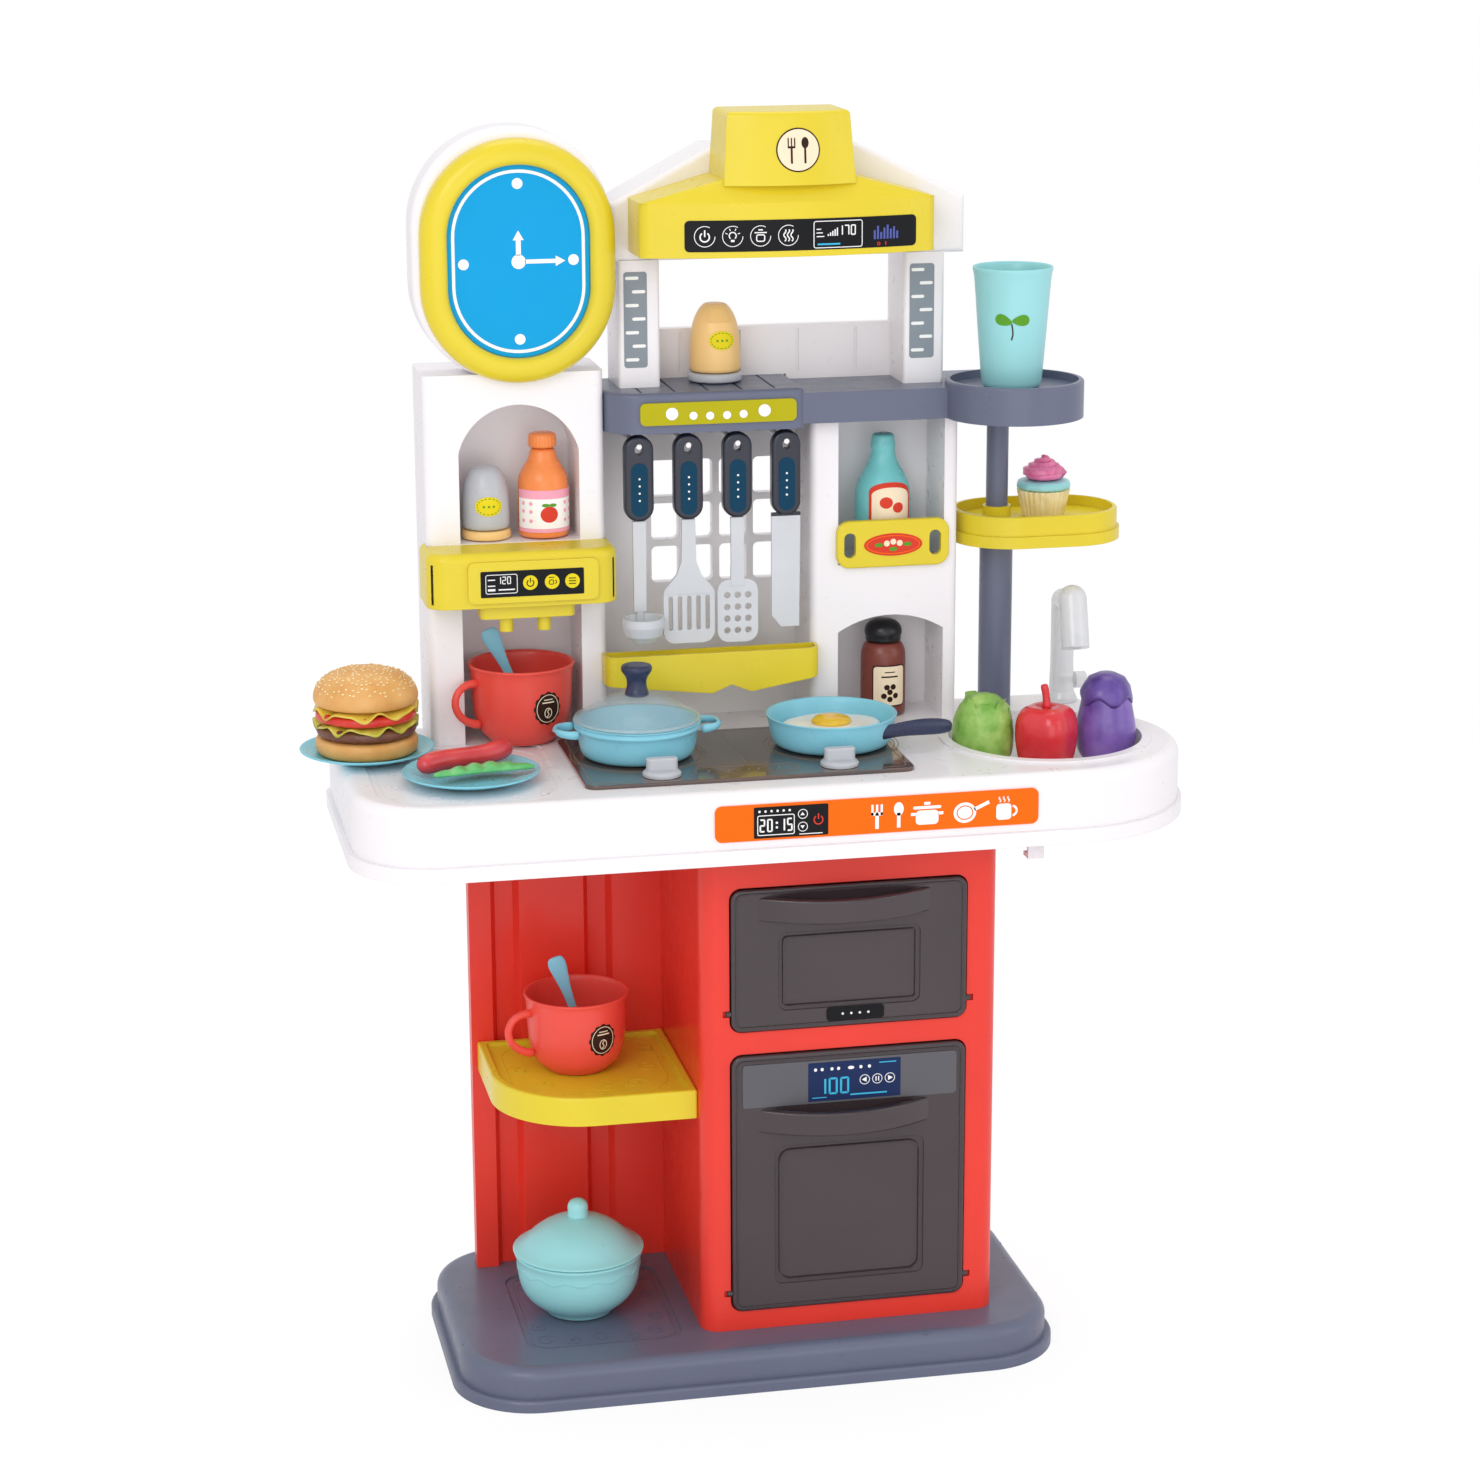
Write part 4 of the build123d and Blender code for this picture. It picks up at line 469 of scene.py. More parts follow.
def flatPiece(name, shapes, place, body, finish, low=0.0, high=0.3, cell=None):
    # printed or embossed shapes: each outline becomes a closed thin slab that follows the surface
    bm = bmesh.new()
    for shape in shapes:
        bm.faces.new([bm.verts.new((u, v, 0)) for u, v in shape])
    if cell:
        for axis in (0, 1):
            values = [v.co[axis] for v in bm.verts]
            at = (min(values) // cell + 1) * cell
            while at < max(values):
                point = (at, 0, 0) if axis == 0 else (0, at, 0)
                normal = (1, 0, 0) if axis == 0 else (0, 1, 0)
                bmesh.ops.bisect_plane(bm, geom=bm.verts[:] + bm.edges[:] + bm.faces[:], plane_co=point,
                                       plane_no=normal)
                at += cell
    grown = bmesh.ops.extrude_face_region(bm, geom=bm.faces[:])
    raised = {v for v in grown["geom"] if isinstance(v, bmesh.types.BMVert)}
    for vert in bm.verts:
        depth = high if vert in raised else low
        vert.co = Vector(place(vert.co.x, vert.co.y, depth)) * mm
    bmesh.ops.recalc_face_normals(bm, faces=bm.faces)
    mesh = bpy.data.meshes.new(name)
    bm.to_mesh(mesh)
    bm.free()
    mesh.materials.append(finish[1])
    return addObject(name, mesh, body)


def layersOn(place, body, cell=None):
    # lays the layers of one print on a face, each between two depths
    return lambda name, shapes, finish, low=0.0, high=0.3: flatPiece(name, shapes, place, body, finish, low,
                                                                     high, cell)


def paint(finish, *nodes):
    for node in nodes:
        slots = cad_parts[node].material_slots
        for index in range(len(slots)):
            slots[index].material = finish[1]


# Finishes of the carried-over solids

paint(plastic["white"], "countertop", "tower_shell", "back_panel", "right_column", "house_frame", "hooks",
      "sink_basin", "battery_box", "battery_cover")
paint(plastic["red"], "cabinet_shell", "ribbed_panel", "rear_cover")
paint(plastic["lime"], "side_shelf", "clock_ring", "coffee_unit", "nozzle_block", "sauce_holder",
      "utensil_bin", "hood", "pole_shelf")
paint(plastic["slate"], "base_tray", "top_shelf", "pole")
paint(plastic["grey"], "cavity_shelf", "pump_unit")
paint(plastic["black"], "sound_module")
paint(special["smoked"], "microwave_door", "oven_door")
paint(special["hob"], "hob_plate")
paint(special["frost"], "faucet", "tap_knob")
paint(plastic["silver"], "hob_knob_left", "hob_knob_right")
paint(vinyl["orange"], "control_strip")
paint(vinyl["blue"], "clock_face")
paint(vinyl["olive"], "shelf_trim")
paint(special["utensilA"], "ladle", "spatula", "slotted_spoon", "knife")
paint(special["steel"], "screws")
print("carried-over solids painted")


# Clock

clock = {"x": -150.0, "z": 824.0, "y": 37.0, "dotRadius": 3.9, "outline": 2.3, "inset": 3.2}


def makeClock():
    x, z, y = clock["x"], clock["z"], clock["y"]
    half, tall = 51.7 - clock["inset"], 69.2 - clock["inset"]
    shapes = beadLoop(x - half, x + half, z - tall, z + tall, half - 0.2, clock["outline"], 16)
    for dx, dz in ((-40, -1), (40, 0.5), (0, 56), (0, -56)):
        shapes.append(ellipse(x + dx, z + dz, clock["dotRadius"], clock["dotRadius"], 24))
    shapes.append(ellipse(x, z, 5.2, 5.2, 28))
    shapes.append(bar(x, z + 4.6, x, z + 15.5, 3.6))
    shapes.append([(x - 4.0, z + 15.5), (x + 4.0, z + 15.5), (x, z + 22.5)])
    shapes.append(bar(x + 4.6, z, x + 27, z, 3.0))
    shapes.append([(x + 27, z - 3.8), (x + 34, z), (x + 27, z + 3.8)])
    flatPiece("clockPrint", shapes, onFront(y), "kitchen", vinyl["white"])


makeClock()


# Hood panel and badge

hoodPanel = {"x0": -35.0, "x1": 137.0, "z0": 831.5, "z1": 854.0, "middle": 43.5, "front": -6.0,
             "half": 109.5, "rise": 16.0}


def makeHoodPanel():
    p = hoodPanel
    place = onBow(p["middle"], p["front"], p["half"], p["rise"])
    lay = layersOn(place, "kitchen", 8.0)
    flatPiece("hoodPanelBlack", [roundedRect(p["x0"], p["x1"], p["z0"], p["z1"], 3.5)], place, "kitchen",
              vinyl["black"], 0.0, 0.3, 6.0)
    white = []
    for cx in (-20.8, -0.9, 19.2, 39.4):
        white += arcBand(cx, 842.6, 7.3, 0.5, 60, 300, 30)
    white += arcBand(-20.8, 842.2, 3.3, 1.0, 125, 290, 16) + [bar(-20.8, 842.4, -20.8, 847.2, 1.0)]
    white += arcBand(-0.9, 843.0, 2.5, 0.8, -50, 280, 16) + [bar(-2.2, 839.4, 0.4, 839.4, 1.5)]
    for angle in (20, 65, 115, 160):
        c, s = cos(radians(angle)), sin(radians(angle))
        white.append(bar(-0.9 + 3.9 * c, 843.0 + 3.9 * s, -0.9 + 5.6 * c, 843.0 + 5.6 * s, 0.6))
    white += beadLoop(15.9, 22.5, 838.4, 843.8, 1.6, 0.8, 3) + [bar(14.8, 845.0, 23.6, 845.0, 0.8),
                                                                bar(17.6, 847.0, 20.8, 847.0, 0.9)]
    for dx in (-2.6, 0.0, 2.6):
        wave = [(39.4 + dx + 0.9 * sin(t * 1.1), 838.4 + t * 1.05) for t in range(9)]
        white += path(wave, 0.9)
    white += beadLoop(58.0, 95.0, 832.6, 852.2, 1.8, 0.6, 4) + digits("170", 76.6, 841.8, 6.6, 3.0)
    white += [bar(69.0 + i * 1.7, 841.2, 69.0 + i * 1.7, 842.6 + i * 1.1, 0.9) for i in range(5)]
    white += [bar(60.2, 841.0 + i * 2.6, 66.0 - i * 1.2, 841.0 + i * 2.6, 0.7) for i in range(3)]
    lay("hoodPanelWhiteInk", white, vinyl["white"], 0.3, 0.5)
    heights = (5.5, 8.5, 4.0, 7.0, 9.0, 6.0, 7.6, 4.4)
    blue = [bar(104.4 + i * 2.5, 837.5, 104.4 + i * 2.5, 838.5 + tall, 1.5)
            for i, tall in enumerate(heights)]
    lay("hoodPanelBars", blue, vinyl["violet"], 0.3, 0.5)
    lay("hoodPanelLevel", [bar(61.0, 835.4, 78.0, 835.4, 1.2)], vinyl["cyan"], 0.3, 0.5)
    red = circle(107.5, 834.2, 1.3, 0.6, 14)
    red += [bar(113.0, 833.0, 113.0, 835.6, 0.7)]
    lay("hoodPanelSwitchMarks", red, vinyl["red"], 0.3, 0.5)


def onChimney(u, v, d):
    share = (v - 878.0) / 52.0
    half = 48.5 - 3.5 * share
    front = -8.0 + 6.0 * share
    radius = (half * half + 81.0) / 18.0
    return (u, front + radius - sqrt(radius * radius - (u - 42.5) ** 2) - d, v)


badge = {"middle": (47.0, 903.0)}


def makeChimneyBadge():
    # round badge with a fork and a spoon side by side
    cx, cz = badge["middle"]
    lay = layersOn(onChimney, "kitchen", 5.0)
    lay("badgeRim", [ellipse(cx, cz, 16.2, 15.6, 40)], vinyl["brown"], 0.0, 0.25)
    lay("badgeField", [ellipse(cx, cz, 15.2, 14.6, 40)], vinyl["cream"], 0.25, 0.4)
    marks = [ellipse(cx + 5.0, cz + 5.0, 2.7, 4.0, 20), bar(cx + 5.0, cz - 9.5, cx + 5.0, cz + 2.0, 1.5)]
    marks += [bar(cx - 5.0, cz - 9.5, cx - 5.0, cz + 2.0, 1.5), bar(cx - 7.8, cz + 2.0, cx - 2.2, cz + 2.0,
            1.5)]
    marks += [bar(cx - 5.0 + dx, cz + 2.0, cx - 5.0 + dx, cz + 8.6, 0.9) for dx in (-2.35, 0.0, 2.35)]
    lay("badgeMarks", marks, vinyl["brown"], 0.4, 0.5)


makeHoodPanel()
makeChimneyBadge()


# Gauge stickers on the two legs, trim lights, sauce sign

def makeGauges():
    for label, x0, x1 in (("Left", -70.0, -52.6), ("Right", 146.2, 165.0)):
        flatPiece("gauge" + label, [roundedRect(x0, x1, 741.0, 811.5, 2.2, 4)], onFront(58.0), "kitchen",
                  vinyl["grey"])
        marks = []
        for row in range(7):
            z = 807.0 - row * 10.0
            left = row % 2 == 0
            start = x0 + 1.2 if left else x1 - 11.2
            marks.append(roundedRect(start, start + 10.0, z - 1.2, z + 1.2, 1.15, 3))
        flatPiece("gaugeMarks" + label, marks, onFront(58.0), "kitchen", vinyl["white"], 0.3, 0.45)


trimLights = {
    "spots": ((-40.6, 710.9, 4.6), (-24.6, 709.0, 3.0), (-12.2, 708.6, 3.0), (0.5, 708.6, 3.0),
              (12.9, 709.0, 3.0), (28.7, 711.0, 4.6)),
}


def makeTrimLights():
    spots = trimLights["spots"]
    shapes = [ellipse(x, z, r, r, 24) for x, z, r in spots]
    flatPiece("trimLights", shapes, onFront(26.8), "kitchen", vinyl["white"], 0.0, 0.6)


def makeSauceSign():
    lay = layersOn(onFront(40.0), "kitchen")
    lay("sauceSign", [ellipse(130.3, 603.2, 22.6, 8.6, 40)], ("orange_plastic", vinyl["red"][1]), 0.0, 0.35)
    ring = band(ellipse(130.3, 603.2, 20.8, 7.2, 40), ellipse(130.3, 603.2, 20.0, 6.5, 40))
    lay("sauceSignRing", ring, vinyl["orange"], 0.35, 0.45)
    leaves = [ellipse(130.3 + dx, 603.2 + dz, 3.2, 1.6, 16) for dx, dz in ((-11, 0), (11, 0), (0, -3.4))]
    lay("sauceSignLeaves", leaves, vinyl["leaf"], 0.35, 0.45)
    dots = [ellipse(130.3 + dx, 603.2 + dz, 2.3, 2.3, 16) for dx, dz in ((-5, 1), (5, 1), (0, 2.2))]
    lay("sauceSignDots", dots, vinyl["cream"], 0.35, 0.45)


makeGauges()
makeTrimLights()
makeSauceSign()


# Coffee unit sticker and control strip

coffeePanel = {"front": 6.0}


def makeCoffeePanel():
    y = coffeePanel["front"]
    lay = layersOn(onFront(y), "kitchen")
    lay("coffeePanel", [roundedRect(-187.0, -111.0, 584.6, 604.0, 0.8, 2)], vinyl["black"])
    white = beadLoop(-183.5, -160.0, 587.2, 601.6, 1.6, 0.5, 3) + digits("120", -174.6, 594.6, 5.0, 2.2)
    white += [bar(-181.8, 590.2, -176.4, 590.2, 1.6), bar(-181.8, 593.2, -176.4, 593.2, 0.8),
              bar(-174.0, 590.2, -162.0, 590.2, 0.9), bar(-181.8, 597.6, -176.4, 597.6, 0.8)]
    lay("coffeePanelInk", white, vinyl["white"], 0.3, 0.45)
    yellow = [ellipse(cx, 594.6, 5.4, 5.4, 32) for cx in (-150.6, -134.6, -119.6)]
    lay("coffeeButtons", yellow, vinyl["yellow"], 0.3, 0.7)
    marks = arcBand(-150.6, 594.4, 2.5, 0.8, 125, 290, 14) + [bar(-150.6, 594.8, -150.6, 598.2, 0.8)]
    marks += beadLoop(-137.0, -133.2, 592.4, 596.2, 1.2, 0.6, 3)
    marks += arcBand(-132.6, 594.4, 1.3, 0.6, -80, 160, 8) + [bar(-137.2, 597.8, -133.0, 597.8, 0.6)]
    marks += [bar(-122.2, 592.6 + i * 2.0, -117.0, 592.6 + i * 2.0, 0.7) for i in range(3)]
    lay("coffeeButtonMarks", marks, vinyl["brown"], 0.7, 0.8)


controlStrip = {"front": -131.6, "middle": 441.4}


def makeControlStrip():
    y, cz = (controlStrip[key] for key in ("front", "middle"))
    lay = layersOn(onFront(y), "kitchen")
    lay("stripDisplay", [roundedRect(-14.0, 40.2, 430.6, 453.6, 0.8, 2)], vinyl["black"])
    frameOut = roundedRect(-11.6, 15.6, 432.6, 447.6, 1.4, 3)
    white = band(frameOut, roundedRect(-11.0, 15.0, 433.2, 447.0, 0.9, 3)) + digits("20:15", -9.4, 435.6,
            8.6, 3.0)
    white += [ellipse(-10.0 + i * 4.4, 450.4, 0.9, 0.9, 10) for i in range(6)]
    for arrowZ, up in ((447.0, 1), (437.6, -1)):
        white += circle(21.6, arrowZ, 3.6, 0.5, 24)
        white.append([(19.8, arrowZ - 0.9 * up), (23.0, arrowZ - 0.9 * up), (21.4, arrowZ + 1.4 * up)][::up])
    white += [bar(19.0, 432.2, 36.0, 432.2, 0.6)]
    lay("stripDisplayInk", white, vinyl["white"], 0.3, 0.45)
    red = arcBand(33.0, 442.0, 3.2, 0.9, 125, 290, 16) + [bar(33.0, 442.6, 33.0, 446.8, 0.9)]
    lay("stripPowerMark", red, vinyl["red"], 0.3, 0.45)
    x = 76.0
    white = [bar(x, cz - 9.0, x, cz + 2.0, 2.6), bar(x - 4.2, cz + 2.0, x + 4.2, cz + 2.0, 2.4)]
    white += [bar(x + dx, cz + 1.0, x + dx, cz + 9.0, 1.6) for dx in (-3.4, 0.0, 3.4)]
    x = 92.0
    white += [bar(x, cz - 9.0, x, cz + 2.0, 2.6), ellipse(x, cz + 4.8, 3.6, 5.0, 24)]
    x = 113.0
    white += [roundedRect(x - 8.4, x + 8.4, cz - 8.0, cz + 2.6, 3.0, 4), roundedRect(x - 10.4, x + 10.4,
            cz + 3.6, cz + 5.8, 1.0, 3)]
    white += [roundedRect(x - 2.4, x + 2.4, cz + 6.6, cz + 8.8, 0.9, 3), bar(x - 12.0, cz, x - 8.0, cz,
            2.2),
              bar(x + 8.0, cz, x + 12.0, cz, 2.2)]
    x = 141.0
    white += [ellipse(x, cz - 1.0, 8.4, 7.6, 32), bar(x + 7.0, cz + 1.0, x + 18.0, cz + 6.0, 2.6)]
    x = 171.0
    white += [roundedRect(x - 6.6, x + 4.6, cz - 8.0, cz + 4.0, 2.6, 4)]
    white += arcBand(x + 5.0, cz - 1.6, 3.6, 1.6, -80, 160, 12)
    for dx in (-4.0, -0.8, 2.4):
        white += path([(x + dx + 0.7 * sin(t * 1.5), cz + 5.2 + t * 1.0) for t in range(5)], 1.0)
    lay("stripPictograms", white, vinyl["white"], 0.0, 0.25)
    ring = band(ellipse(141.0, cz - 1.0, 6.2, 5.4, 32), ellipse(141.0, cz - 1.0, 5.4, 4.6, 32))
    lay("stripPanRing", ring, vinyl["orange"], 0.25, 0.35)


makeCoffeePanel()
makeControlStrip()
print("printed panels done")


# Doors: raised beads, plate and display

doors = {"front": -86.0}


def makeDoors():
    y = doors["front"]
    layMicrowave, layOven = layersOn(onFront(y), "microwave_door"), layersOn(onFront(y), "oven_door")
    beads = beadLoop(-18.4, 153.6, 272.0, 375.4, 6.0, 1.1)
    beads += beadLoop(17.0, 118.0, 287.0, 341.0, 3.4, 1.0)
    layMicrowave("microwaveBeads", beads, special["smoked"], 0.0, 0.8)
    layMicrowave("microwavePlate", [roundedRect(50.0, 93.4, 273.6, 284.0, 2.4, 4)], vinyl["black"], 0.0,
                 0.9)
    dots = [ellipse(62.0 + i * 6.5, 278.8, 0.9, 0.9, 12) for i in range(4)]
    layMicrowave("microwavePlateDots", dots, vinyl["white"], 0.9, 1.0)
    beads = beadLoop(-18.4, 153.6, 51.0, 246.6, 6.0, 1.1) + beadLoop(14.0, 122.0, 71.0, 175.0, 9.0, 1.0)
    layOven("ovenBeads", beads, special["smoked"], 0.0, 0.8)
    layOven("ovenBand", [roundedRect(-13.5, 149.5, 209.8, 243.4, 2.6, 4)], plastic["bandGrey"], 0.0, 0.7)
    layOven("ovenScreen", [roundedRect(36.0, 106.4, 211.4, 241.6, 0.6, 2)], vinyl["screen"], 0.7, 0.9)
    cyan = digits("100", 43.5, 217.0, 11.6, 5.4) + [bar(68.0, 215.0, 96.0, 215.0, 1.2)]
    cyan += [bar(39.0, 214.2, 50.0, 214.2, 0.7), bar(90.0, 238.6, 103.0, 238.6, 0.8)]
    layOven("ovenScreenCyan", cyan, vinyl["cyan"], 0.9, 1.0)
    white = []
    for cx, kind in ((79.0, "back"), (88.6, "pause"), (98.2, "play")):
        white += circle(cx, 226.0, 3.9, 0.5, 24)
        if kind == "pause":
            white += [bar(cx - 1.0, 224.2, cx - 1.0, 227.8, 0.8), bar(cx + 1.0, 224.2, cx + 1.0, 227.8,
                    0.8)]
        else:
            side = 1 if kind == "play" else -1
            white.append([(cx - 1.4 * side, 224.0), (cx + 2.2 * side, 226.0),
                          (cx - 1.4 * side, 228.0)][::side])
    for index, cx in enumerate((41.5, 46.5, 54.0, 59.0, 68.5, 76.0, 82.5)):
        white.append(ellipse(cx, 236.2, 2.4 if index == 4 else 1.2, 1.3, 14))
    layOven("ovenScreenWhite", white, vinyl["white"], 0.9, 1.0)


makeDoors()


# Hob print and knob rings

hobPrint = {"height": 468.0}


def makeHobPrint():
    z = hobPrint["height"]
    gold = beadLoop(-124.0, 108.0, -97.0, 33.0, 7.0, 0.6)
    for cx in (-78.0, 68.0):
        for radius in (50.0, 47.0):
            gold += circle(cx, -23.0, radius, 0.6, 64)
    gold += beadLoop(-46.0, 30.0, -92.0, -70.0, 10.0, 0.7)
    gold += [bar(-38.0 + i * 7.4, -84.0, -35.0 + i * 7.4, -78.0, 0.7) for i in range(9)]
    gold += [bar(-38.0, -87.0, 24.0, -87.0, 0.5), bar(-5.0, -66.0, -5.0, 28.0, 0.5)]
    flatPiece("hobPrint", gold, onTop(z), "kitchen", vinyl["hobInk"], 0.0, 0.12)


makeHobPrint()


# Embossed scrolls on the side shelf, the base and the worktop corner

def scroll(cx, cy, size, turn):
    points = []
    for step in range(22):
        angle = step * 0.36
        radius = size * (1 - step / 24)
        x, y = radius * cos(angle), radius * sin(angle)
        c, s = cos(radians(turn)), sin(radians(turn))
        points.append((cx + x * c - y * s, cy + x * s + y * c))
    return points


scrolls = {
    "shelfScrolls": {"height": 217.0, "finish": plastic["lime"], "width": 1.1,
                     "frame": (-176.0, -58.0, -50.0, 66.0, 26.0, 1.2),
                     "turns": ((-84, -34, 10, 10), (-108, -38, 8, 190), (-68, 0, 9, 100), (-66, 40, 9, 250),
                               (-150, -22, 8, 150), (-164, 10, 7, 60))},
    "baseScrolls": {"height": 30.8, "finish": plastic["slate"], "width": 1.1,
                    "frame": (-172.0, -62.0, -82.0, 52.0, 14.0, 1.2),
                    "turns": ((-160, -68, 9, 30), (-140, -72, 7, 200), (-118, -70, 9, 20),
                              (-96, -72, 7, 210), (-76, -66, 8, 60), (-162, -44, 7, 120),
                              (-74, -40, 8, 260), (-164, 34, 8, 300), (-72, 34, 8, 120), (-72, 0, 7, 30))},
    "worktopScrolls": {"height": 464.0, "finish": plastic["white"], "width": 1.0,
                       "frame": (-272.0, -146.0, -114.0, 32.0, 38.0, 1.0),
                       "turns": ((-262, -60, 8, 100), (-238, -96, 9, 200), (-180, -106, 6, 20),
                                 (-160, -100, 6, 200))},
}


def makeScrolls():
    # each turn: middle, size and angle
    for name, part in scrolls.items():
        shapes = beadLoop(*part["frame"])
        for turn in part["turns"]:
            shapes += path(scroll(*turn), part["width"])
        flatPiece(name, shapes, onTop(part["height"]), "kitchen", part["finish"], 0.0, 0.28)


makeScrolls()


# Utensil handles

def makeHandleInlays():
    for name, x in (("ladle", -64.0), ("spatula", -27.0), ("slotted_spoon", 10.0), ("knife", 47.0)):
        flatPiece(name + "Inlay", [roundedRect(x - 6.2, x + 6.2, 634.0, 674.0, 6.0, 8)], onFront(34.0),
                  name, vinyl["teal"], 0.0, 0.35)
        marks = [ellipse(x, 646.0 + i * 5.4, 0.8, 0.8, 12) for i in range(4)]
        flatPiece(name + "InlayDots", marks, onFront(34.0), name, vinyl["white"], 0.35, 0.45)


shafts = {
    "front": 39.7,
    "outlines": {"ladle": (-64.0, [(-4.6, 562), (4.6, 562), (5.0, 630), (-5.0, 630)]),
                 "slotted_spoon": (10.0, [(-5.4, 578), (5.4, 578), (4.8, 596), (5.0, 630), (-5.0, 630),
                                          (-4.8, 596)]), "spatula": (-27.0, [(-19.2, 573.4), (19.2, 573.4),
                                                  (15.4, 581), (9.4, 588), (5.6, 598), (5.0, 630),
                                                          (-5.0, 630), (-5.6, 598), (-9.4, 588),
                                                                  (-15.4, 581)])},
}


def makeShafts():
    # broad flat shafts over the thin cores, the spatula with sloping shoulders
    y, shapes = (shafts[key] for key in ("front", "outlines"))
    for name, (x, outline) in shapes.items():
        flatPiece(name + "Shaft", [[(x + u, v) for u, v in outline]], onFront(y), name, special["shaft"],
                  0.0, 3.4)


makeHandleInlays()
makeShafts()
print("embossing and inlays done")


# Cups

cupShape = {"wall": [(0, 0.4), (22, 0.4), (24.6, 0.6), (25.4, 2.2), (26.5, 3.2), (31, 7), (35, 14),
                     (37, 26),
                        (37.8, 44), (38.2, 54), (39.2, 57.6), (40, 58.4), (40, 59.4), (39.2, 60),
                     (37.9, 60),
                        (36.7, 58), (35.6, 44), (34.6, 28), (32.4, 17), (28, 9.6), (15, 4.4), (0, 4.1)]}


def wallRadius(profile, base):
    # outer radius of a lathed wall at a height
    outer = []
    for point in profile:
        outer.append(point)
        if point[1] == max(p[1] for p in profile):
            break
    def radiusAt(z):
        h = z - base
        for (r0, h0), (r1, h1) in zip(outer, outer[1:]):
            if h0 <= h <= h1 and h1 > h0:
                return r0 + (r1 - r0) * (h - h0) / (h1 - h0)
        return outer[-1][0]
    return radiusAt


def onWall(centre, profile, facing):
    return onRound(centre[0], centre[1], wallRadius(profile, centre[2]), facing)


def tubeAlong(name, points, widths, body, finish, sides=14, flat=1.0):
    # closed round bar through points, with a width at each
    vertices = []
    count = len(points)
    for i, point in enumerate(points):
        a = Vector(points[max(i - 1, 0)])
        b = Vector(points[min(i + 1, count - 1)])
        along = (b - a).normalized()
        side = along.cross(Vector((0, 1, 0)))
        side = side.normalized() if side.length > 0.1 else Vector((1, 0, 0))
        other = along.cross(side).normalized()
        for s in range(sides):
            angle = 2 * pi * s / sides
            across = side * cos(angle) * widths[i] / 2 + other * sin(angle) * widths[i] / 2 * flat
            vertices.append(Vector(point) + across)
    piece = meshObject(name, vertices, tubeFaces(count, sides), body, finish)
    return subdivide(tidyNormals(piece), 1)


def makeSpoon(name, body, foot, lean, length=84.0):
    # flat stick that widens into a paddle at the top
    c, s = cos(radians(lean)), sin(radians(lean))
    stations = ((0.0, 4.2), (0.3, 5.2), (0.55, 6.4), (0.72, 8.6), (0.85, 13.0), (0.93, 15.0),
                (0.985, 12.4), (1.0, 7.0))
    points = [(foot[0] + s * t * length, foot[1], foot[2] + c * t * length) for t, w in stations]
    widths = [w for t, w in stations]
    return tubeAlong(name, points, widths, body, plastic["spoon"], 12, 0.22)


def makeCup(body, centre, handleAngle, badgeAngle, spoonFoot, spoonLean):
    lathed(body + "Bowl", cupShape["wall"], centre, body, plastic["coral"], 64, replaces=body)
    c, s = cos(radians(handleAngle)), sin(radians(handleAngle))
    loop = [(36.0, 47.0), (42.0, 48.5), (50.0, 46.5), (55.6, 40.0), (56.4, 33.0), (53.6, 25.5),
            (47.0, 19.5), (40.0, 16.6), (34.6, 16.0)]
    points = [(centre[0] + r * c, centre[1] + r * s, centre[2] + h) for r, h in loop]
    tubeAlong(body + "Handle", points, [7.4, 6.6, 6.2, 6.0, 6.0, 6.0, 6.2, 6.8, 7.6], body,
              plastic["coral"], 14, 0.85)
    place = onWall(centre, cupShape["wall"], badgeAngle)
    lay = layersOn(place, body, 4.0)
    mid = centre[2] + 31.0
    scallop = [((11.0 + 0.55 * cos(12 * a)) * cos(a), mid + (12.4 + 0.55 * cos(12 * a)) * sin(a))
               for a in [2 * pi * i / 72 for i in range(72)]]
    lay(body + "Badge", [scallop], vinyl["brown"], -0.1, 0.3)
    ring = band(ellipse(0, mid, 9.4, 10.8, 40), ellipse(0, mid, 8.9, 10.3, 40))
    ring += band(ellipse(0, mid - 3.4, 3.2, 4.0, 24), ellipse(0, mid - 3.4, 2.6, 3.4, 24))
    ring += path([(-0.9, mid - 6.4), (0.7, mid - 4.4), (-0.7, mid - 2.4), (0.9, mid - 0.4)], 0.6)
    ring += [bar(-5.0, mid + 4.6, 5.0, mid + 4.6, 0.9), bar(-3.6, mid + 6.8, 3.6, mid + 6.8, 0.7)]
    lay(body + "BadgeInk", ring, vinyl["cream"], 0.3, 0.45)
    makeSpoon(body + "Spoon", body, spoonFoot, spoonLean)


cups = {
    "counter_cup": {"centre": (-152.0, 52.0, 465.3), "handleAngle": 200.0, "badgeAngle": -67.0,
                    "spoonFoot": (-142.0, 58.0, 473.0), "spoonLean": -24.0},
    "shelf_cup": {"centre": (-121.0, 13.0, 217.3), "handleAngle": 195.0, "badgeAngle": -67.0,
                  "spoonFoot": (-111.0, 13.0, 225.0), "spoonLean": -18.0},
}
for body, values in cups.items():
    makeCup(body, **values)


# Pot, lid, pan and egg

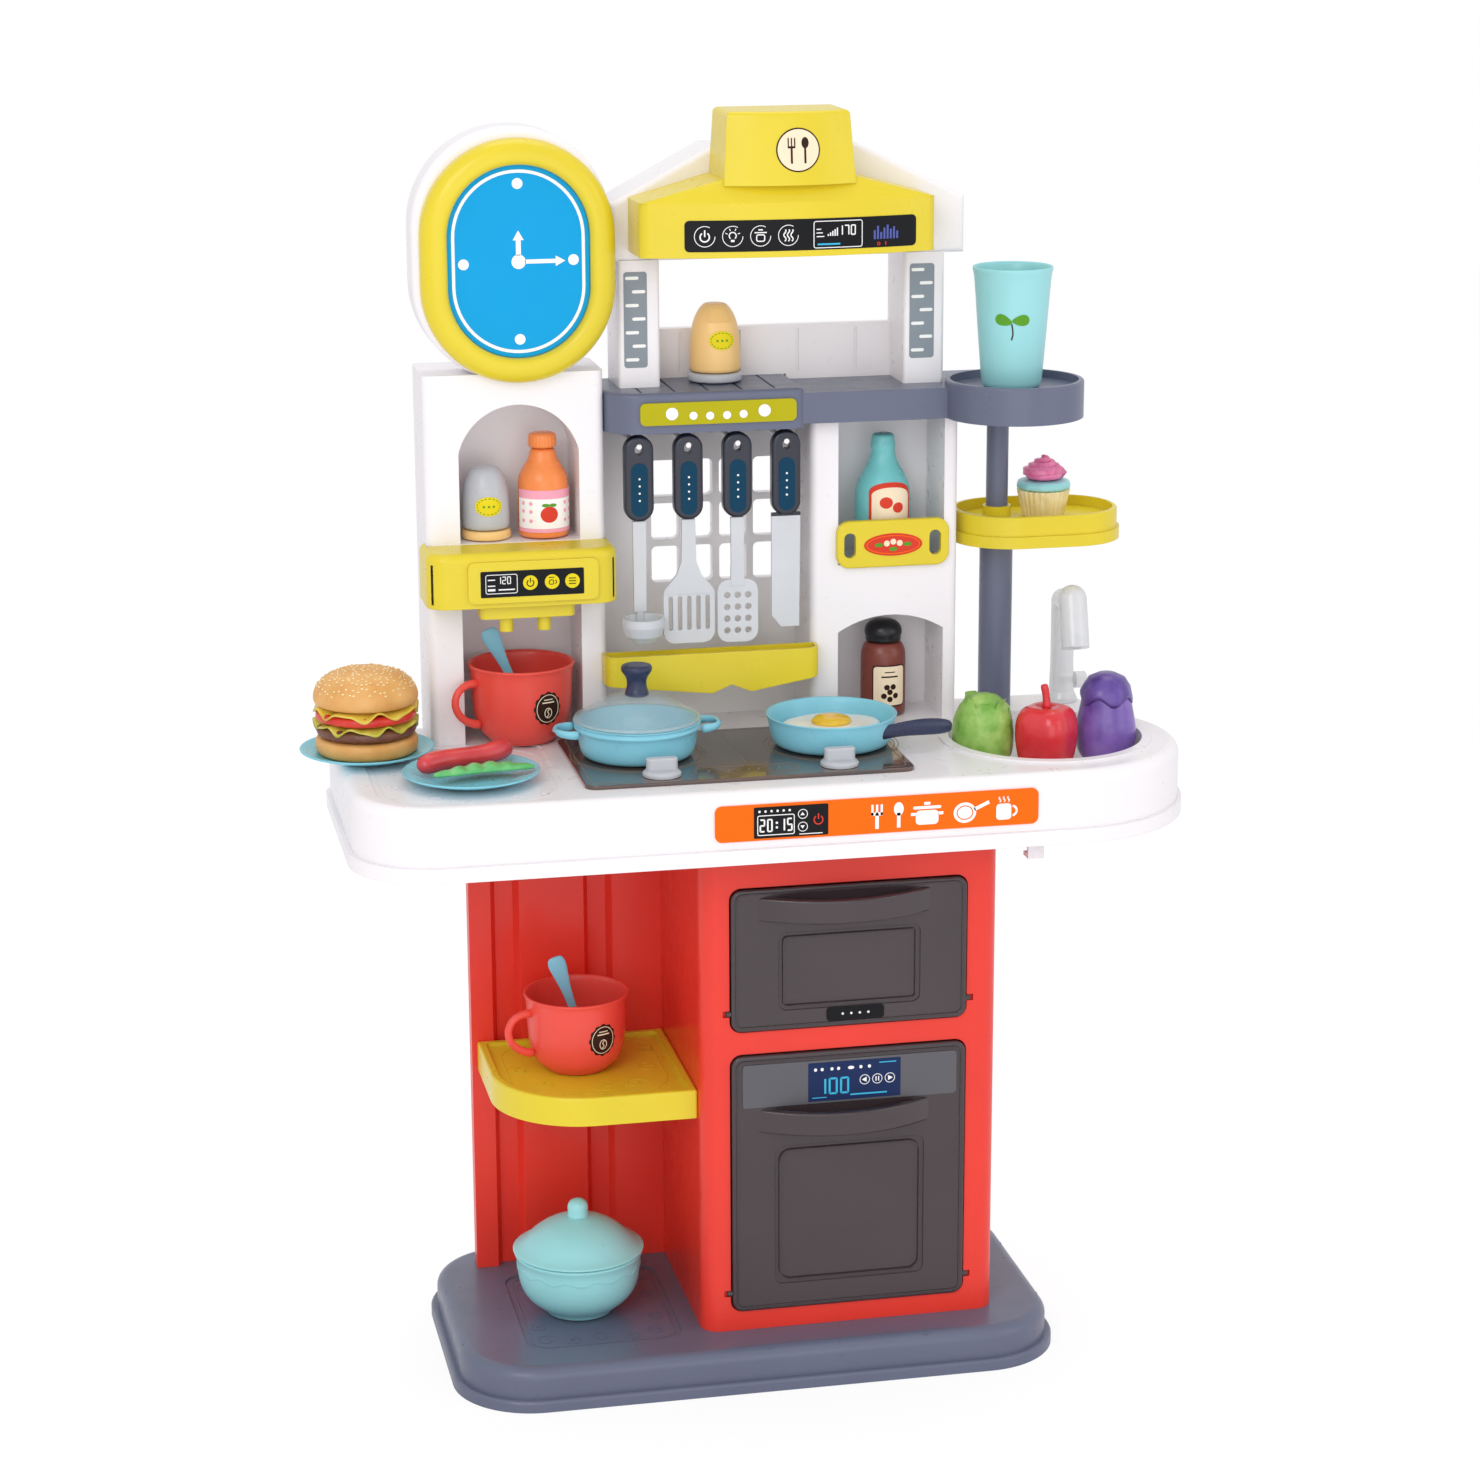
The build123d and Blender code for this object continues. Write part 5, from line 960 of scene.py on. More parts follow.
pot = {
    "centre": (-78.0, -23.0, 468.3),
    "wall": [(0, 0.2), (34, 0.2), (38, 0.6), (40.5, 2), (42.6, 6), (43.6, 14), (44.4, 20), (46.4, 21.6),
             (46.9, 23), (45.6, 24), (45.4, 25.6), (47.3, 26.2), (47.3, 27), (44.0, 27), (43.0, 25.4),
             (42.2, 18), (41.2, 8), (38.6, 4.4), (30, 3.2), (0, 3.1)],
    "lidDome": [(38.2, 0.1), (46.4, 0.1), (47.0, 0.8), (46.2, 1.8), (42.4, 3.2), (36.6, 7.4), (27.6, 13.6),
                (14.6, 18.6), (0, 20.0), (0, 17.8), (13.6, 16.4), (26.0, 11.6), (34.4, 5.8), (38.2, 2.0),
                (38.2, 0.1)],
    "lidKnob": [(0, 17.2), (8.6, 17.2), (9.2, 18.6), (8.2, 21.6), (7.2, 25), (7.2, 29), (8.6, 32.6),
                (11.2, 35.4), (11.6, 37.4), (11.4, 39.6), (10.0, 40.6), (6.0, 40.9), (0, 41.0)],
    "lidRim": [(44.0, 0.3), (46.8, 0.2), (47.0, 1.2), (46.2, 2.2), (44.2, 2.4), (44.0, 0.3)],
}


def makePot():
    centre, profile, dome, knob, rim = (pot[key] for key in ("centre", "wall", "lidDome", "lidKnob",
                                                             "lidRim"))
    lathed("potBowl", profile, centre, "pot", plastic["aqua"], 72, replaces="pot")
    for side, label in ((-1, "Left"), (1, "Right")):
        x = centre[0] + side * 44.5
        z = centre[2] + 20.5
        loop = [(x, -37, z), (x + side * 6, -37.2, z), (x + side * 12.4, -34.4, z + 0.6),
                (x + side * 16.0, -28.0, z + 1), (x + side * 16.6, -23.0, z + 1.2),
                (x + side * 16.0, -18.0, z + 1), (x + side * 12.4, -11.6, z + 0.6),
                (x + side * 6, -8.8, z), (x, -9, z)]
        tubeAlong("potEar" + label, loop, [8.0, 6.4, 5.6, 5.6, 5.6, 5.6, 5.6, 6.4, 8.0], "pot",
                  plastic["aqua"], 12, 0.75)
    lid = (centre[0], centre[1], centre[2] + 27.3)
    lathed("potLidDome", dome, lid, "pot_lid", special["clear"], 64, replaces="pot_lid")
    lathed("potLidKnob", knob, lid, "pot_lid", plastic["navy"], 40)
    lathed("potLidRim", rim, lid, "pot_lid", special["clear"], 64, 0)


pan = {
    "centre": (68.0, -23.0, 468.3),
    "wall": [(0, 0.2), (36, 0.2), (40, 0.6), (43.4, 2.6), (45.6, 8), (47.0, 17), (47.6, 21.4),
             (48.8, 23.2), (48.8, 24), (47.0, 24), (45.8, 21.6), (44.2, 13), (41.6, 5.8), (38.0, 3.0),
             (30, 2.6), (0, 2.6)],
    "handleWidths": ((0.0, 12.0), (0.12, 10.0), (0.3, 11.0), (0.5, 12.6), (0.75, 13.4), (0.92, 11.4),
                     (1.0, 7.0)),
    "eggWhite": [(0, 0), (32, 0), (35.4, 3.0), (36.4, 8.0), (34.6, 11.4), (28, 13.0), (16, 13.6),
                 (0, 13.8)],
    "eggYolk": [(0, 12.6), (14.6, 12.6), (15.4, 14.4), (13.6, 17.0), (9.0, 18.8), (0, 19.4)],
}


def makePan():
    centre, profile, stations, white, yolk = (pan[key] for key in ("centre", "wall", "handleWidths",
            "eggWhite", "eggYolk"))
    lathed("panBowl", profile, centre, "pan", plastic["aqua"], 72, replaces="pan")
    start, end = Vector((95.0, -55.6, 482.0)), Vector((155.0, -43.6, 481.6))
    points = [tuple(start.lerp(end, t) + Vector((0, 0, 2.2 * sin(pi * t)))) for t, w in stations]
    tubeAlong("panHandle", points, [w for t, w in stations], "pan", plastic["navy"], 14, 0.62)
    eggZ = centre[2] + 2.9
    def wobble(angle, radius, height):
        return 1 + (0.07 * sin(3 * angle + 0.6) + 0.05 * sin(5 * angle)) * (radius > 10)
    lathed("eggWhitePiece", white, (69.0, -21.0, eggZ), "pan", special["eggWhite"], 56, 1, wobble)
    lathed("eggYolkPiece", yolk, (68.0, -23.0, eggZ), "pan", special["yolk"], 40)


makePot()
makePan()


# Plates and food

plateProfile = [(0, 0.1), (29, 0.1), (31.5, 0.4), (33.4, 1.6), (40, 3.6), (47.6, 5.6), (49.8, 6.8),
                (49.6, 7.8), (48.4, 8), (45.2, 6.8), (38, 4.8), (33.6, 3.5), (31, 3.1), (0, 3.0)]


def wavy(name, radius, low, high, centre, body, finish, waves, drop):
    # thin leaf or slice whose edge ripples up and down
    profile = [(0, low), (radius * 0.75, low), (radius * 0.95, low), (radius, (low + high) / 2),
               (radius * 0.95, high), (radius * 0.75, high), (0, high)]
    obj = lathed(name, profile, centre, body, finish, 96, 0)
    for vert in obj.data.vertices:
        x, y = vert.co.x / mm - centre[0], vert.co.y / mm - centre[1]
        r = hypot(x, y)
        if r > radius * 0.7:
            angle = atan2(y, x)
            share = (r / radius - 0.7) / 0.3
            ripple = sin(waves * angle) + 0.5 * sin((waves * 2 - 3) * angle + 1.0)
            vert.co.z += share * (drop * ripple - abs(drop) * 0.9) * mm
            grow = 1 + 0.02 * sin((waves + 2) * angle)
            vert.co.x, vert.co.y = (centre[0] + x * grow) * mm, (centre[1] + y * grow) * mm
    return obj


def roughen(obj, centre, amount, sizeMm, seed):
    for vert in obj.data.vertices:
        push = noise.noise(Vector(vert.co) * (1000 / sizeMm) + Vector((seed, seed, seed)))
        direction = Vector((vert.co.x - centre[0] * mm, vert.co.y - centre[1] * mm, 0))
        if direction.length > 0.004:
            vert.co += direction.normalized() * push * amount * mm
    return obj


burger = {"centre": (-271.0, 27.0, 465.3)}


def makeBurger():
    centre = burger["centre"]
    lathed("burgerPlateDish", plateProfile, centre, "burger_plate", plastic["aquaPlate"], 72,
           replaces="burger_plate")
    at = (centre[0], centre[1], centre[2] + 3.3)
    lathed("bunBottom", [(0, 0), (33, 0), (36.4, 1.6), (37.8, 6), (37.8, 11), (36.4, 13.4), (32, 14),
                         (0, 14)], at,
           "burger_plate", special["bun"], 56)
    patty = lathed("burgerPatty", [(0, 14.2), (33, 14.2), (36.4, 16), (37.4, 19), (36.2, 22.6), (33, 24),
                                   (0, 24)], at,
                   "burger_plate", special["patty"], 96, 0)
    roughen(patty, at, 1.6, 7.0, 3.0)
    subdivide(patty, 1)
    wavy("burgerLettuceLow", 38.6, 24.4, 26.0, at, "burger_plate", special["lettuce"], 9, 2.4)
    lathed("burgerTomato", [(0, 26.2), (34, 26.2), (36.8, 27.4), (37.6, 30), (36.8, 33), (34, 34.4),
                            (0, 34.4)], at,
           "burger_plate", special["tomato"], 56, 1,
           lambda angle, radius, height: 1 + 0.012 * sin(6 * angle) * (radius > 20))
    wavy("burgerLettuceHigh", 38.8, 35.2, 37.0, at, "burger_plate", special["cheese"], 8, 2.6)
    return lathed("bunTop", [(0, 37.2), (33, 37.2), (37.4, 38.4), (38.8, 42), (38.4, 46.6), (35.6, 52.6),
                             (29.4, 58.4),
                            (19.6, 62.2), (9, 63.6), (0, 64)], at, "burger_plate", special["bun"], 56)


def sesameTree():
    # seeds scattered over the dome, each a tiny rice-shaped bump
    tree = bpy.data.node_groups.new("sesameScatter", "GeometryNodeTree")
    tree.interface.new_socket("Geometry", in_out="INPUT", socket_type="NodeSocketGeometry")
    for label, kind, value in (("Seed Length", "NodeSocketFloat", 0.0011), ("Density", "NodeSocketFloat",
            62000.0),
                               ("Lowest", "NodeSocketFloat", 0.0)):
        tree.interface.new_socket(label, in_out="INPUT", socket_type=kind).default_value = value
    tree.interface.new_socket("Finish", in_out="INPUT", socket_type="NodeSocketMaterial")
    tree.interface.new_socket("Geometry", in_out="OUTPUT", socket_type="NodeSocketGeometry")
    start = addNode(tree, "NodeGroupInput")
    place = addNode(tree, "GeometryNodeInputPosition")
    parts = addNode(tree, "ShaderNodeSeparateXYZ", {"Vector": (place, "Position")})
    high = addNode(tree, "FunctionNodeCompare", {"A": (parts, "Z"), "B": (start, "Lowest")},
                   data_type="FLOAT", operation="GREATER_THAN")
    scatter = addNode(tree, "GeometryNodeDistributePointsOnFaces",
                      {"Mesh": (start, "Geometry"), "Selection": (high, "Result"), "Distance Min": 0.0026,
                       "Density Max": (start, "Density"), "Seed": 7}, distribute_method="POISSON")
    seed = addNode(tree, "GeometryNodeMeshIcoSphere", {"Radius": (start, "Seed Length"), "Subdivisions": 1})
    flatten = addNode(tree, "GeometryNodeTransform", {"Geometry": (seed, "Mesh"),
                                                      "Scale": (1.0, 0.6, 0.45)})
    copies = addNode(tree, "GeometryNodeInstanceOnPoints", {"Points": (scatter, "Points"),
                                                            "Instance": (flatten, "Geometry"),
                             "Rotation": (scatter, "Rotation")})
    real = addNode(tree, "GeometryNodeRealizeInstances", {"Geometry": (copies, "Instances")})
    finish = addNode(tree, "GeometryNodeSetMaterial", {"Geometry": (real, "Geometry"),
                                                              "Material": (start, "Finish")})
    addNode(tree, "NodeGroupOutput", {"Geometry": (finish, "Geometry")})
    return tree


def bakeNodes(source, tree, values, name, body):
    # runs a geometry tree on a copy and keeps the result as a plain mesh piece
    holder = bpy.data.objects.new(name + "Source", source.data)
    bpy.context.scene.collection.objects.link(holder)
    modifier = holder.modifiers.new("nodes", "NODES")
    modifier.node_group = tree
    for item in tree.interface.items_tree:
        if item.in_out == "INPUT" and item.name in values:
            modifier[item.identifier] = values[item.name]
    bpy.context.view_layer.update()
    mesh = bpy.data.meshes.new_from_object(holder.evaluated_get(bpy.context.evaluated_depsgraph_get()))
    bpy.data.objects.remove(holder)
    mesh.name = name
    return addObject(name, mesh, body)


bun = makeBurger()
bakeNodes(bun, sesameTree(), {"Seed Length": 0.0012, "Density": 62000.0, "Lowest": 0.5185,
                              "Finish": special["cakeCase"][1]}, "bunSesame", "burger_plate")


servingPlate = {
    "centre": (-205.0, -55.0, 465.3),
    "sausage": [(-38, -2, 0), (-35, 0, 0), (-28, 5, 0.6), (-18, 10, 1), (-6, 13, 1), (6, 14, 1.2),
                (17, 17, 2.2), (25, 22, 3.2), (30, 26, 3.6), (32, 28, 3.6)],
}


def makeServingPlate():
    centre, spine = (servingPlate[key] for key in ("centre", "sausage"))
    lathed("servingPlateDish", plateProfile, centre, "serving_plate", plastic["aquaPlate"], 72,
           replaces="serving_plate")
    z = centre[2] + 12.4
    points = [(centre[0] + x, centre[1] + y, z + dz) for x, y, dz in spine]
    tubeAlong("sausagePiece", points, [5, 13.6, 16.4, 15.4, 14.6, 14.6, 15.0, 16.2, 13.4, 5],
              "serving_plate", special["sausage"], 18)
    vertices = []
    steps = 40
    for i in range(steps + 1):
        t = i / steps
        x, y = -30 + 74 * t, -20 + 9 * sin(pi * (t - 0.1)) + 4 * t
        half = 10.2 * sin(pi * min(max(t, 0.02), 0.98)) ** 0.6
        puff = 2.4 + 3.0 * abs(sin(pi * t * 6)) * sin(pi * t)
        for k in range(10):
            angle = 2 * pi * k / 10
            vertices.append((centre[0] + x, centre[1] + y + half * cos(angle),
                             centre[2] + 10.2 + puff * sin(angle) * (1.0 if sin(angle) > 0 else 0.5)))
    pod = meshObject("peaPodPiece", vertices, tubeFaces(steps + 1, 10), "serving_plate", special["peas"])
    subdivide(tidyNormals(pod), 1)


makeServingPlate()
print("cups, pans and plates done")


# Tumbler, shakers and bottles

tumbler = {
    "centre": (218.0, 31.0, 721.3),
    "wall": [(0, 0.2), (20, 0.2), (21.8, 1), (23, 6), (28.2, 78), (29.0, 85), (30, 87.6), (30, 89.4),
             (29.2, 90), (28.4, 89.4), (27.2, 86), (26.4, 78), (21, 8), (20, 3.4), (0, 3.2)],
}


def makeTumbler():
    centre, profile = (tumbler[key] for key in ("centre", "wall"))
    lathed("tumblerWall", profile, centre, "tumbler", plastic["aquaPale"], 64, replaces="tumbler")
    place = onWall(centre, profile, -106.0)
    lay = layersOn(place, "tumbler", 4.0)
    mid = centre[2] + 50.0
    stem = path([(-0.4, mid - 12.0), (0.6, mid - 8.0), (0.4, mid - 4.0), (-0.4, mid)], 1.0)
    lay("tumblerStem", stem, ("cabbage_green", vinyl["brown"][1]), -0.1, 0.25)
    leaves = []
    for side, tilt in ((-1, 4), (1, -10)):
        leaf = []
        for i in range(24):
            a = 2 * pi * i / 24
            u, v = 6.6 * cos(a), 3.9 * sin(a) * (1 + 0.35 * side * cos(a))
            c, s = cos(radians(tilt * side + 14 * side)), sin(radians(tilt * side + 14 * side))
            leaf.append((side * 6.4 + u * c - v * s, mid + 2.6 + u * s + v * c))
        leaves.append(leaf)
    lay("tumblerLeaves", leaves, vinyl["leaf"], -0.1, 0.3)


def labelOval(name, centre, profile, facing, z, rx, rz, body, field, ink):
    place = onWall(centre, profile, facing)
    lay = layersOn(place, body, 3.0)
    lay(name, [ellipse(0, z, rx, rz, 40)], field, -0.15, 0.3)
    dashes = []
    for i in range(18):
        a0, a1 = radians(i * 20), radians(i * 20 + 11)
        dashes.append(bar(rx * 0.84 * cos(a0), z + rz * 0.82 * sin(a0), rx * 0.84 * cos(a1),
                          z + rz * 0.82 * sin(a1), 0.6))
    dashes += [ellipse(dx, z, 0.9, 0.9, 12) for dx in (-3.6, 0, 3.6)]
    lay(name + "Ink", dashes, ink, 0.3, 0.42)


salt = {
    "centre": (2.0, 78.0, 726.3),
    "base": [(0, 0.1), (18.6, 0.1), (20.2, 1.0), (20.6, 3.0), (20.4, 6.4), (19.0, 7.4), (0, 7.4)],
    "body": [(0, 7.6), (18.8, 7.6), (19.4, 8.6), (19.2, 20), (18.6, 30), (17.6, 40), (15.4, 48),
             (11.4, 55), (8.4, 57.6), (7.0, 58.2), (0, 58.4)],
    "pourLip": [(-9.0, 46.0), (9.0, 46.0), (6.0, 55.0), (-6.0, 55.0)],
}


def makeSalt():
    centre, base, body, wedge = (salt[key] for key in ("centre", "base", "body", "pourLip"))
    lathed("saltBase", base, centre, "salt_shaker", ("grey_plastic", plastic["silver"][1]), 48,
           replaces="salt_shaker")
    lathed("saltBody", body, centre, "salt_shaker", plastic["salt"], 48)
    place = onRound(2.0, 78.0, lambda v: 15.4 - (v - 774.3) * 0.62, -90.0)
    flatPiece("saltPourLip", [[(u, 726.3 + v) for u, v in wedge]], place, "salt_shaker", plastic["salt"],
              -1.0, 0.4, 3.0)
    labelOval("saltLabel", centre, body, -84.0, 758.5, 10.0, 7.0, "salt_shaker", vinyl["yellow"],
              vinyl["leaf"])


sugar = {
    "centre": (-174.0, 66.0, 617.3),
    "base": [(0, 0.1), (17.0, 0.1), (18.2, 1.0), (18.5, 3.0), (18.2, 6.6), (17.0, 7.4), (0, 7.4)],
    "body": [(0, 7.6), (17.0, 7.6), (17.6, 8.8), (17.6, 26), (17.0, 36), (15.4, 43), (12.4, 50),
             (9.0, 53.6), (0, 54.8)],
}


def makeSugar():
    centre, base, body = (sugar[key] for key in ("centre", "base", "body"))
    lathed("sugarBase", base, centre, "sugar_shaker", plastic["salt"], 48, replaces="sugar_shaker")
    lathed("sugarBody", body, centre, "sugar_shaker", plastic["silver"], 48)
    labelOval("sugarLabel", centre, body, -90.0, 643.5, 10.4, 7.2, "sugar_shaker", vinyl["yellow"],
              vinyl["leaf"])


pepper = {
    "centre": (131.0, 72.0, 465.3),
    "jar": [(0, 0.1), (15.6, 0.1), (17.2, 1.2), (17.4, 4), (17.4, 46), (17.0, 50), (14.4, 55.6),
            (13.0, 56.6), (0, 56.8)],
    "cap": [(0, 57.0), (13.2, 57.0), (13.8, 58.0), (13.4, 60.6), (14.4, 62.0), (14.6, 66), (12.6, 70.6),
            (8.0, 73.2), (0, 74)],
}


def makePepper():
    centre, jar, cap = (pepper[key] for key in ("centre", "jar", "cap"))
    lathed("pepperJar", jar, centre, "pepper_shaker", plastic["pepper"], 48, replaces="pepper_shaker")
    lathed("pepperCap", cap, centre, "pepper_shaker", plastic["black"], 48)
    place = onWall(centre, jar, -86.0)
    lay = layersOn(place, "pepper_shaker", 3.0)
    lay("pepperLabelRim", [roundedRect(-13.8, 13.8, 473.5, 506.0, 3.6, 4)], vinyl["brown"], -0.1, 0.25)
    lay("pepperLabel", [roundedRect(-12.8, 12.8, 474.5, 505.0, 2.8, 4)], vinyl["cream"], 0.25, 0.35)
    spots = [ellipse(dx, 482.0 + dz, 2.2, 2.2, 14) for dx, dz in ((-4.6, 0), (0, 3.0), (4.6, 0),
            (-2.3, 6.8), (2.6, 7.0),
                                                                  (0, -2.6))]
    spots += [bar(-6.5, 497.0, 6.5, 497.0, 1.2), bar(-4.0, 500.6, 4.0, 500.6, 0.8)]
    lay("pepperLabelInk", spots, vinyl["brown"], 0.35, 0.45)


milk = {
    "centre": (-131.0, 66.0, 617.3),
    "wall": [(0, 0.1), (17.0, 0.1), (18.6, 1.4), (19, 4), (19, 40), (18.2, 45.6), (14.8, 51.6),
             (11.4, 56.4), (9.8, 60.6), (9.6, 66), (0, 66)],
    "cap": [(0, 66.2), (9.6, 66.2), (10.4, 67.2), (10.4, 75.4), (9.2, 77.2), (0, 77.5)],
}


def makeMilk():
    centre, profile, cap = (milk[key] for key in ("centre", "wall", "cap"))
    lathed("milkBottle", profile, centre, "milk_bottle", plastic["orange"], 48, replaces="milk_bottle")
    flute = lambda angle, radius, height: 1 + 0.025 * cos(24 * angle) * (radius > 9.8)
    lathed("milkCap", cap, centre, "milk_bottle", plastic["orange"], 96, 1, flute)
    place = onWall(centre, profile, -85.0)
    lay = layersOn(place, "milk_bottle", 3.0)
    lay("milkLabel", [roundedRect(-27.0, 27.0, 622.5, 654.0, 0.8, 2)], ("cake_cream", vinyl["white"][1]),
        -0.05, 0.2)
    pink = [roundedRect(-27.0, 27.0, 647.6, 654.0, 0.8, 2), roundedRect(-27.0, 27.0, 622.5, 625.4, 0.8, 2)]
    pink += [ellipse(dx, dz, 1.5, 1.5, 12) for dx in (-21, -14, 14, 21) for dz in (631.0, 638.0, 644.0)]
    lay("milkLabelPink", pink, vinyl["pink"], 0.2, 0.3)
    lay("milkLabelSpot", [ellipse(0, 636.0, 6.6, 6.0, 24)], vinyl["red"], 0.2, 0.32)
    leaf = [ellipse(dx, 643.0, 3.0, 1.3, 12) for dx in (-2.6, 2.6)]
    lay("milkLabelLeaf", leaf, vinyl["leaf"], 0.32, 0.4)


sauceBottle = {
    "centre": (130.0, 72.0, 588.3),
    "wall": [(0, 0.1), (19.4, 0.1), (21.2, 1.8), (21.5, 5), (21.5, 48), (20.6, 54), (17.4, 62),
             (12.4, 70.4), (9.8, 76), (8.8, 82), (9.6, 84), (9.6, 87), (8.6, 88.6), (8.6, 92.4),
             (7.6, 94.6), (0, 95)],
}


def makeSauceBottle():
    centre, profile = (sauceBottle[key] for key in ("centre", "wall"))
    lathed("sauceBottleWall", profile, centre, "sauce_bottle", plastic["sauce"], 48,
           replaces="sauce_bottle")
    place = onWall(centre, profile, -85.0)
    lay = layersOn(place, "sauce_bottle", 3.0)
    shape = [(18.0 * cos(radians(a)), 640.0 + 8.0 * sin(radians(a))) for a in range(0, 181, 12)] + [(-18.0,
            604.0), (18.0, 604.0)]
    lay("sauceLabel", [shape], vinyl["red"], -0.05, 0.2)
    inner = [(15.6 * cos(radians(a)), 638.0 + 6.4 * sin(radians(a))) for a in range(0, 181, 12)] + [(-15.6,
            607.0), (15.6, 607.0)]
    lay("sauceLabelField", [inner], vinyl["cream"], 0.2, 0.3)
    lay("sauceLabelSpot", [ellipse(-4.4, 633.0, 5.0, 4.4, 24), ellipse(5.0, 629.0, 4.4, 4.0, 24)],
        vinyl["red"], 0.3, 0.4)


makeTumbler()
makeSalt()
makeSugar()
makePepper()
makeMilk()
makeSauceBottle()


# Cupcake and vegetables

cupcake = {
    "centre": (258.0, 76.0, 613.3),
    "case": [(0, 0.1), (15.0, 0.1), (15.6, 0.8), (19.6, 19.6), (19.8, 20.6), (0, 20.8)],
    "band": [(0, 21.0), (19.8, 21.0), (20.8, 22.2), (20.8, 25.2), (19.6, 27.4), (17.0, 28.0), (0, 28.0)],
    "core": [(0, 28.2), (15.0, 28.2), (14.0, 34), (8.0, 40), (0, 45.6)],
    "swirl": (3.4, 150, 10),
}


def makeCupcake():
    centre, case, ring, core, (turns, steps, sides) = (cupcake[key] for key in ("centre", "case", "band",
            "core", "swirl"))
    pleat = lambda angle, radius, height: 1 + 0.035 * cos(26 * angle) * (radius > 12)
    lathed("cakeCasePleated", case, centre, "cupcake", special["cakeCase"], 208, 0, pleat,
           replaces="cupcake")
    lathed("cakeBand", ring, centre, "cupcake", plastic["aquaPale"], 48, 1,
           lambda angle, radius, height: 1 + 0.02 * cos(10 * angle) * (radius > 18))
    vertices = []
    for i in range(steps + 1):
        t = i / steps
        angle = 2 * pi * turns * t
        radius = 13.2 * (1 - t) ** 0.8
        tube = 5.0 * (1 - 0.55 * t)
        z = 32.6 + 12.6 * t
        for k in range(sides):
            a = 2 * pi * k / sides
            rib = tube * (1 + 0.10 * cos(5 * a + angle))
            r = radius + rib * cos(a)
            vertices.append((centre[0] + r * cos(angle), centre[1] + r * sin(angle),
                             centre[2] + z + rib * sin(a) * 0.86))
    tidyNormals(meshObject("cakeSwirl", vertices, tubeFaces(steps + 1, sides), "cupcake", special["icing"]))
    lathed("cakeCore", core, centre, "cupcake", special["icing"], 40)


cabbage = {
    "centre": (185.0, -21.0, 440.9),
    "head": [(0, 0.4), (10, 0.4), (15, 3), (19.4, 10), (21.4, 20), (21.4, 32), (19.4, 43), (15.4, 51.6),
             (9.4, 57.6), (0, 59.6)],
}


def makeCabbage():
    centre, profile = (cabbage[key] for key in ("centre", "head"))
    def leafBump(angle, radius, height):
        return 1 + 0.035 * sin(5 * angle + height * 0.05) + 0.018 * sin(11 * angle - height * 0.12)
    lathed("cabbageHead", profile, centre, "cabbage", special["cabbage"], 60, 1, leafBump,
           replaces="cabbage")
    for index, (turn, lift) in enumerate(((-100, 0), (-40, 2), (-160, 3), (20, 4), (100, 1))):
        vertices, faces = [], []
        rows, columns = 14, 12
        for row in range(rows + 1):
            v = row / rows
            height = 6 + lift + v * 48
            wide = 62 * sin(pi * min(0.12 + 0.86 * v, 0.98)) ** 0.6
            for column in range(columns + 1):
                u = column / columns * 2 - 1
                angle = radians(turn + u * wide)
                nearest = min(range(len(profile) - 1), key=lambda i: abs(profile[i][1] - height))
                (r0, h0), (r1, h1) = profile[nearest:nearest + 2]
                base = r0 + (height - h0) * (r1 - r0) / (h1 - h0)
                vein = 0.55 * max(0, 1 - abs(u) * 9) + 0.22 * max(0,
                        sin(v * 22 - abs(u) * 7)) * (abs(u) < 0.9)
                edge = 0.5 * sin(v * 26 + u * 6) * (abs(u) > 0.75)
                r = min(base, 21.6) + 0.9 + vein + edge * 0.5 + 0.2 * index
                vertices.append((centre[0] + r * cos(angle), centre[1] + r * sin(angle),
                                 centre[2] + height))
        for row in range(rows):
            for column in range(columns):
                a = row * (columns + 1) + column
                faces.append((a, a + 1, a + columns + 2, a + columns + 1))
        leaf = meshObject("cabbageLeaf" + str(index), vertices, faces, "cabbage", special["cabbage"])
        shell = leaf.modifiers.new("thick", "SOLIDIFY")
        shell.thickness = 0.0009
        shell.offset = -1
        subdivide(leaf, 1)


capsicum = {
    "centre": (229.0, -39.0, 440.9),
    "wall": [(0, 2.6), (6, 1.0), (12, 0.4), (17, 3), (20.4, 12), (22.4, 26), (22.6, 36), (20.8, 45),
             (16.4, 50.4), (10, 51.6), (5, 49.6), (0, 48.6)],
}


def makeCapsicum():
    centre, profile = (capsicum[key] for key in ("centre", "wall"))
    lobes = lambda angle, radius, height: 1 + 0.075 * cos(4 * angle) * (radius > 6)
    lathed("capsicumBody", profile, centre, "red_pepper", special["capsicum"], 64, 1, lobes,
           replaces="red_pepper")
    x, y, z = centre
    points = [(x, y, z + 47.6), (x, y, z + 52), (x - 0.6, y, z + 58), (x - 1.6, y, z + 64),
              (x - 2.6, y, z + 68)]
    tubeAlong("capsicumStem", points, [9.0, 6.4, 5.6, 6.0, 6.6], "red_pepper", special["capsicum"], 12)


aubergine = {
    "centre": (279.0, -27.0, 440.9),
    "wall": [(0, 0.4), (10, 0.6), (17, 4), (21.6, 12), (23.2, 22), (22.6, 32), (20.4, 42), (18.6, 52),
             (16.6, 60), (12.6, 66.6), (6, 70.0), (0, 70.6)],
    "cap": [(19.8, 51), (19.8, 54), (17.8, 61.0), (13.6, 67.6), (6.6, 71.0), (0, 71.2), (0, 69.2),
            (12.0, 65.0), (16.6, 59), (18.6, 52), (19.8, 51)],
}


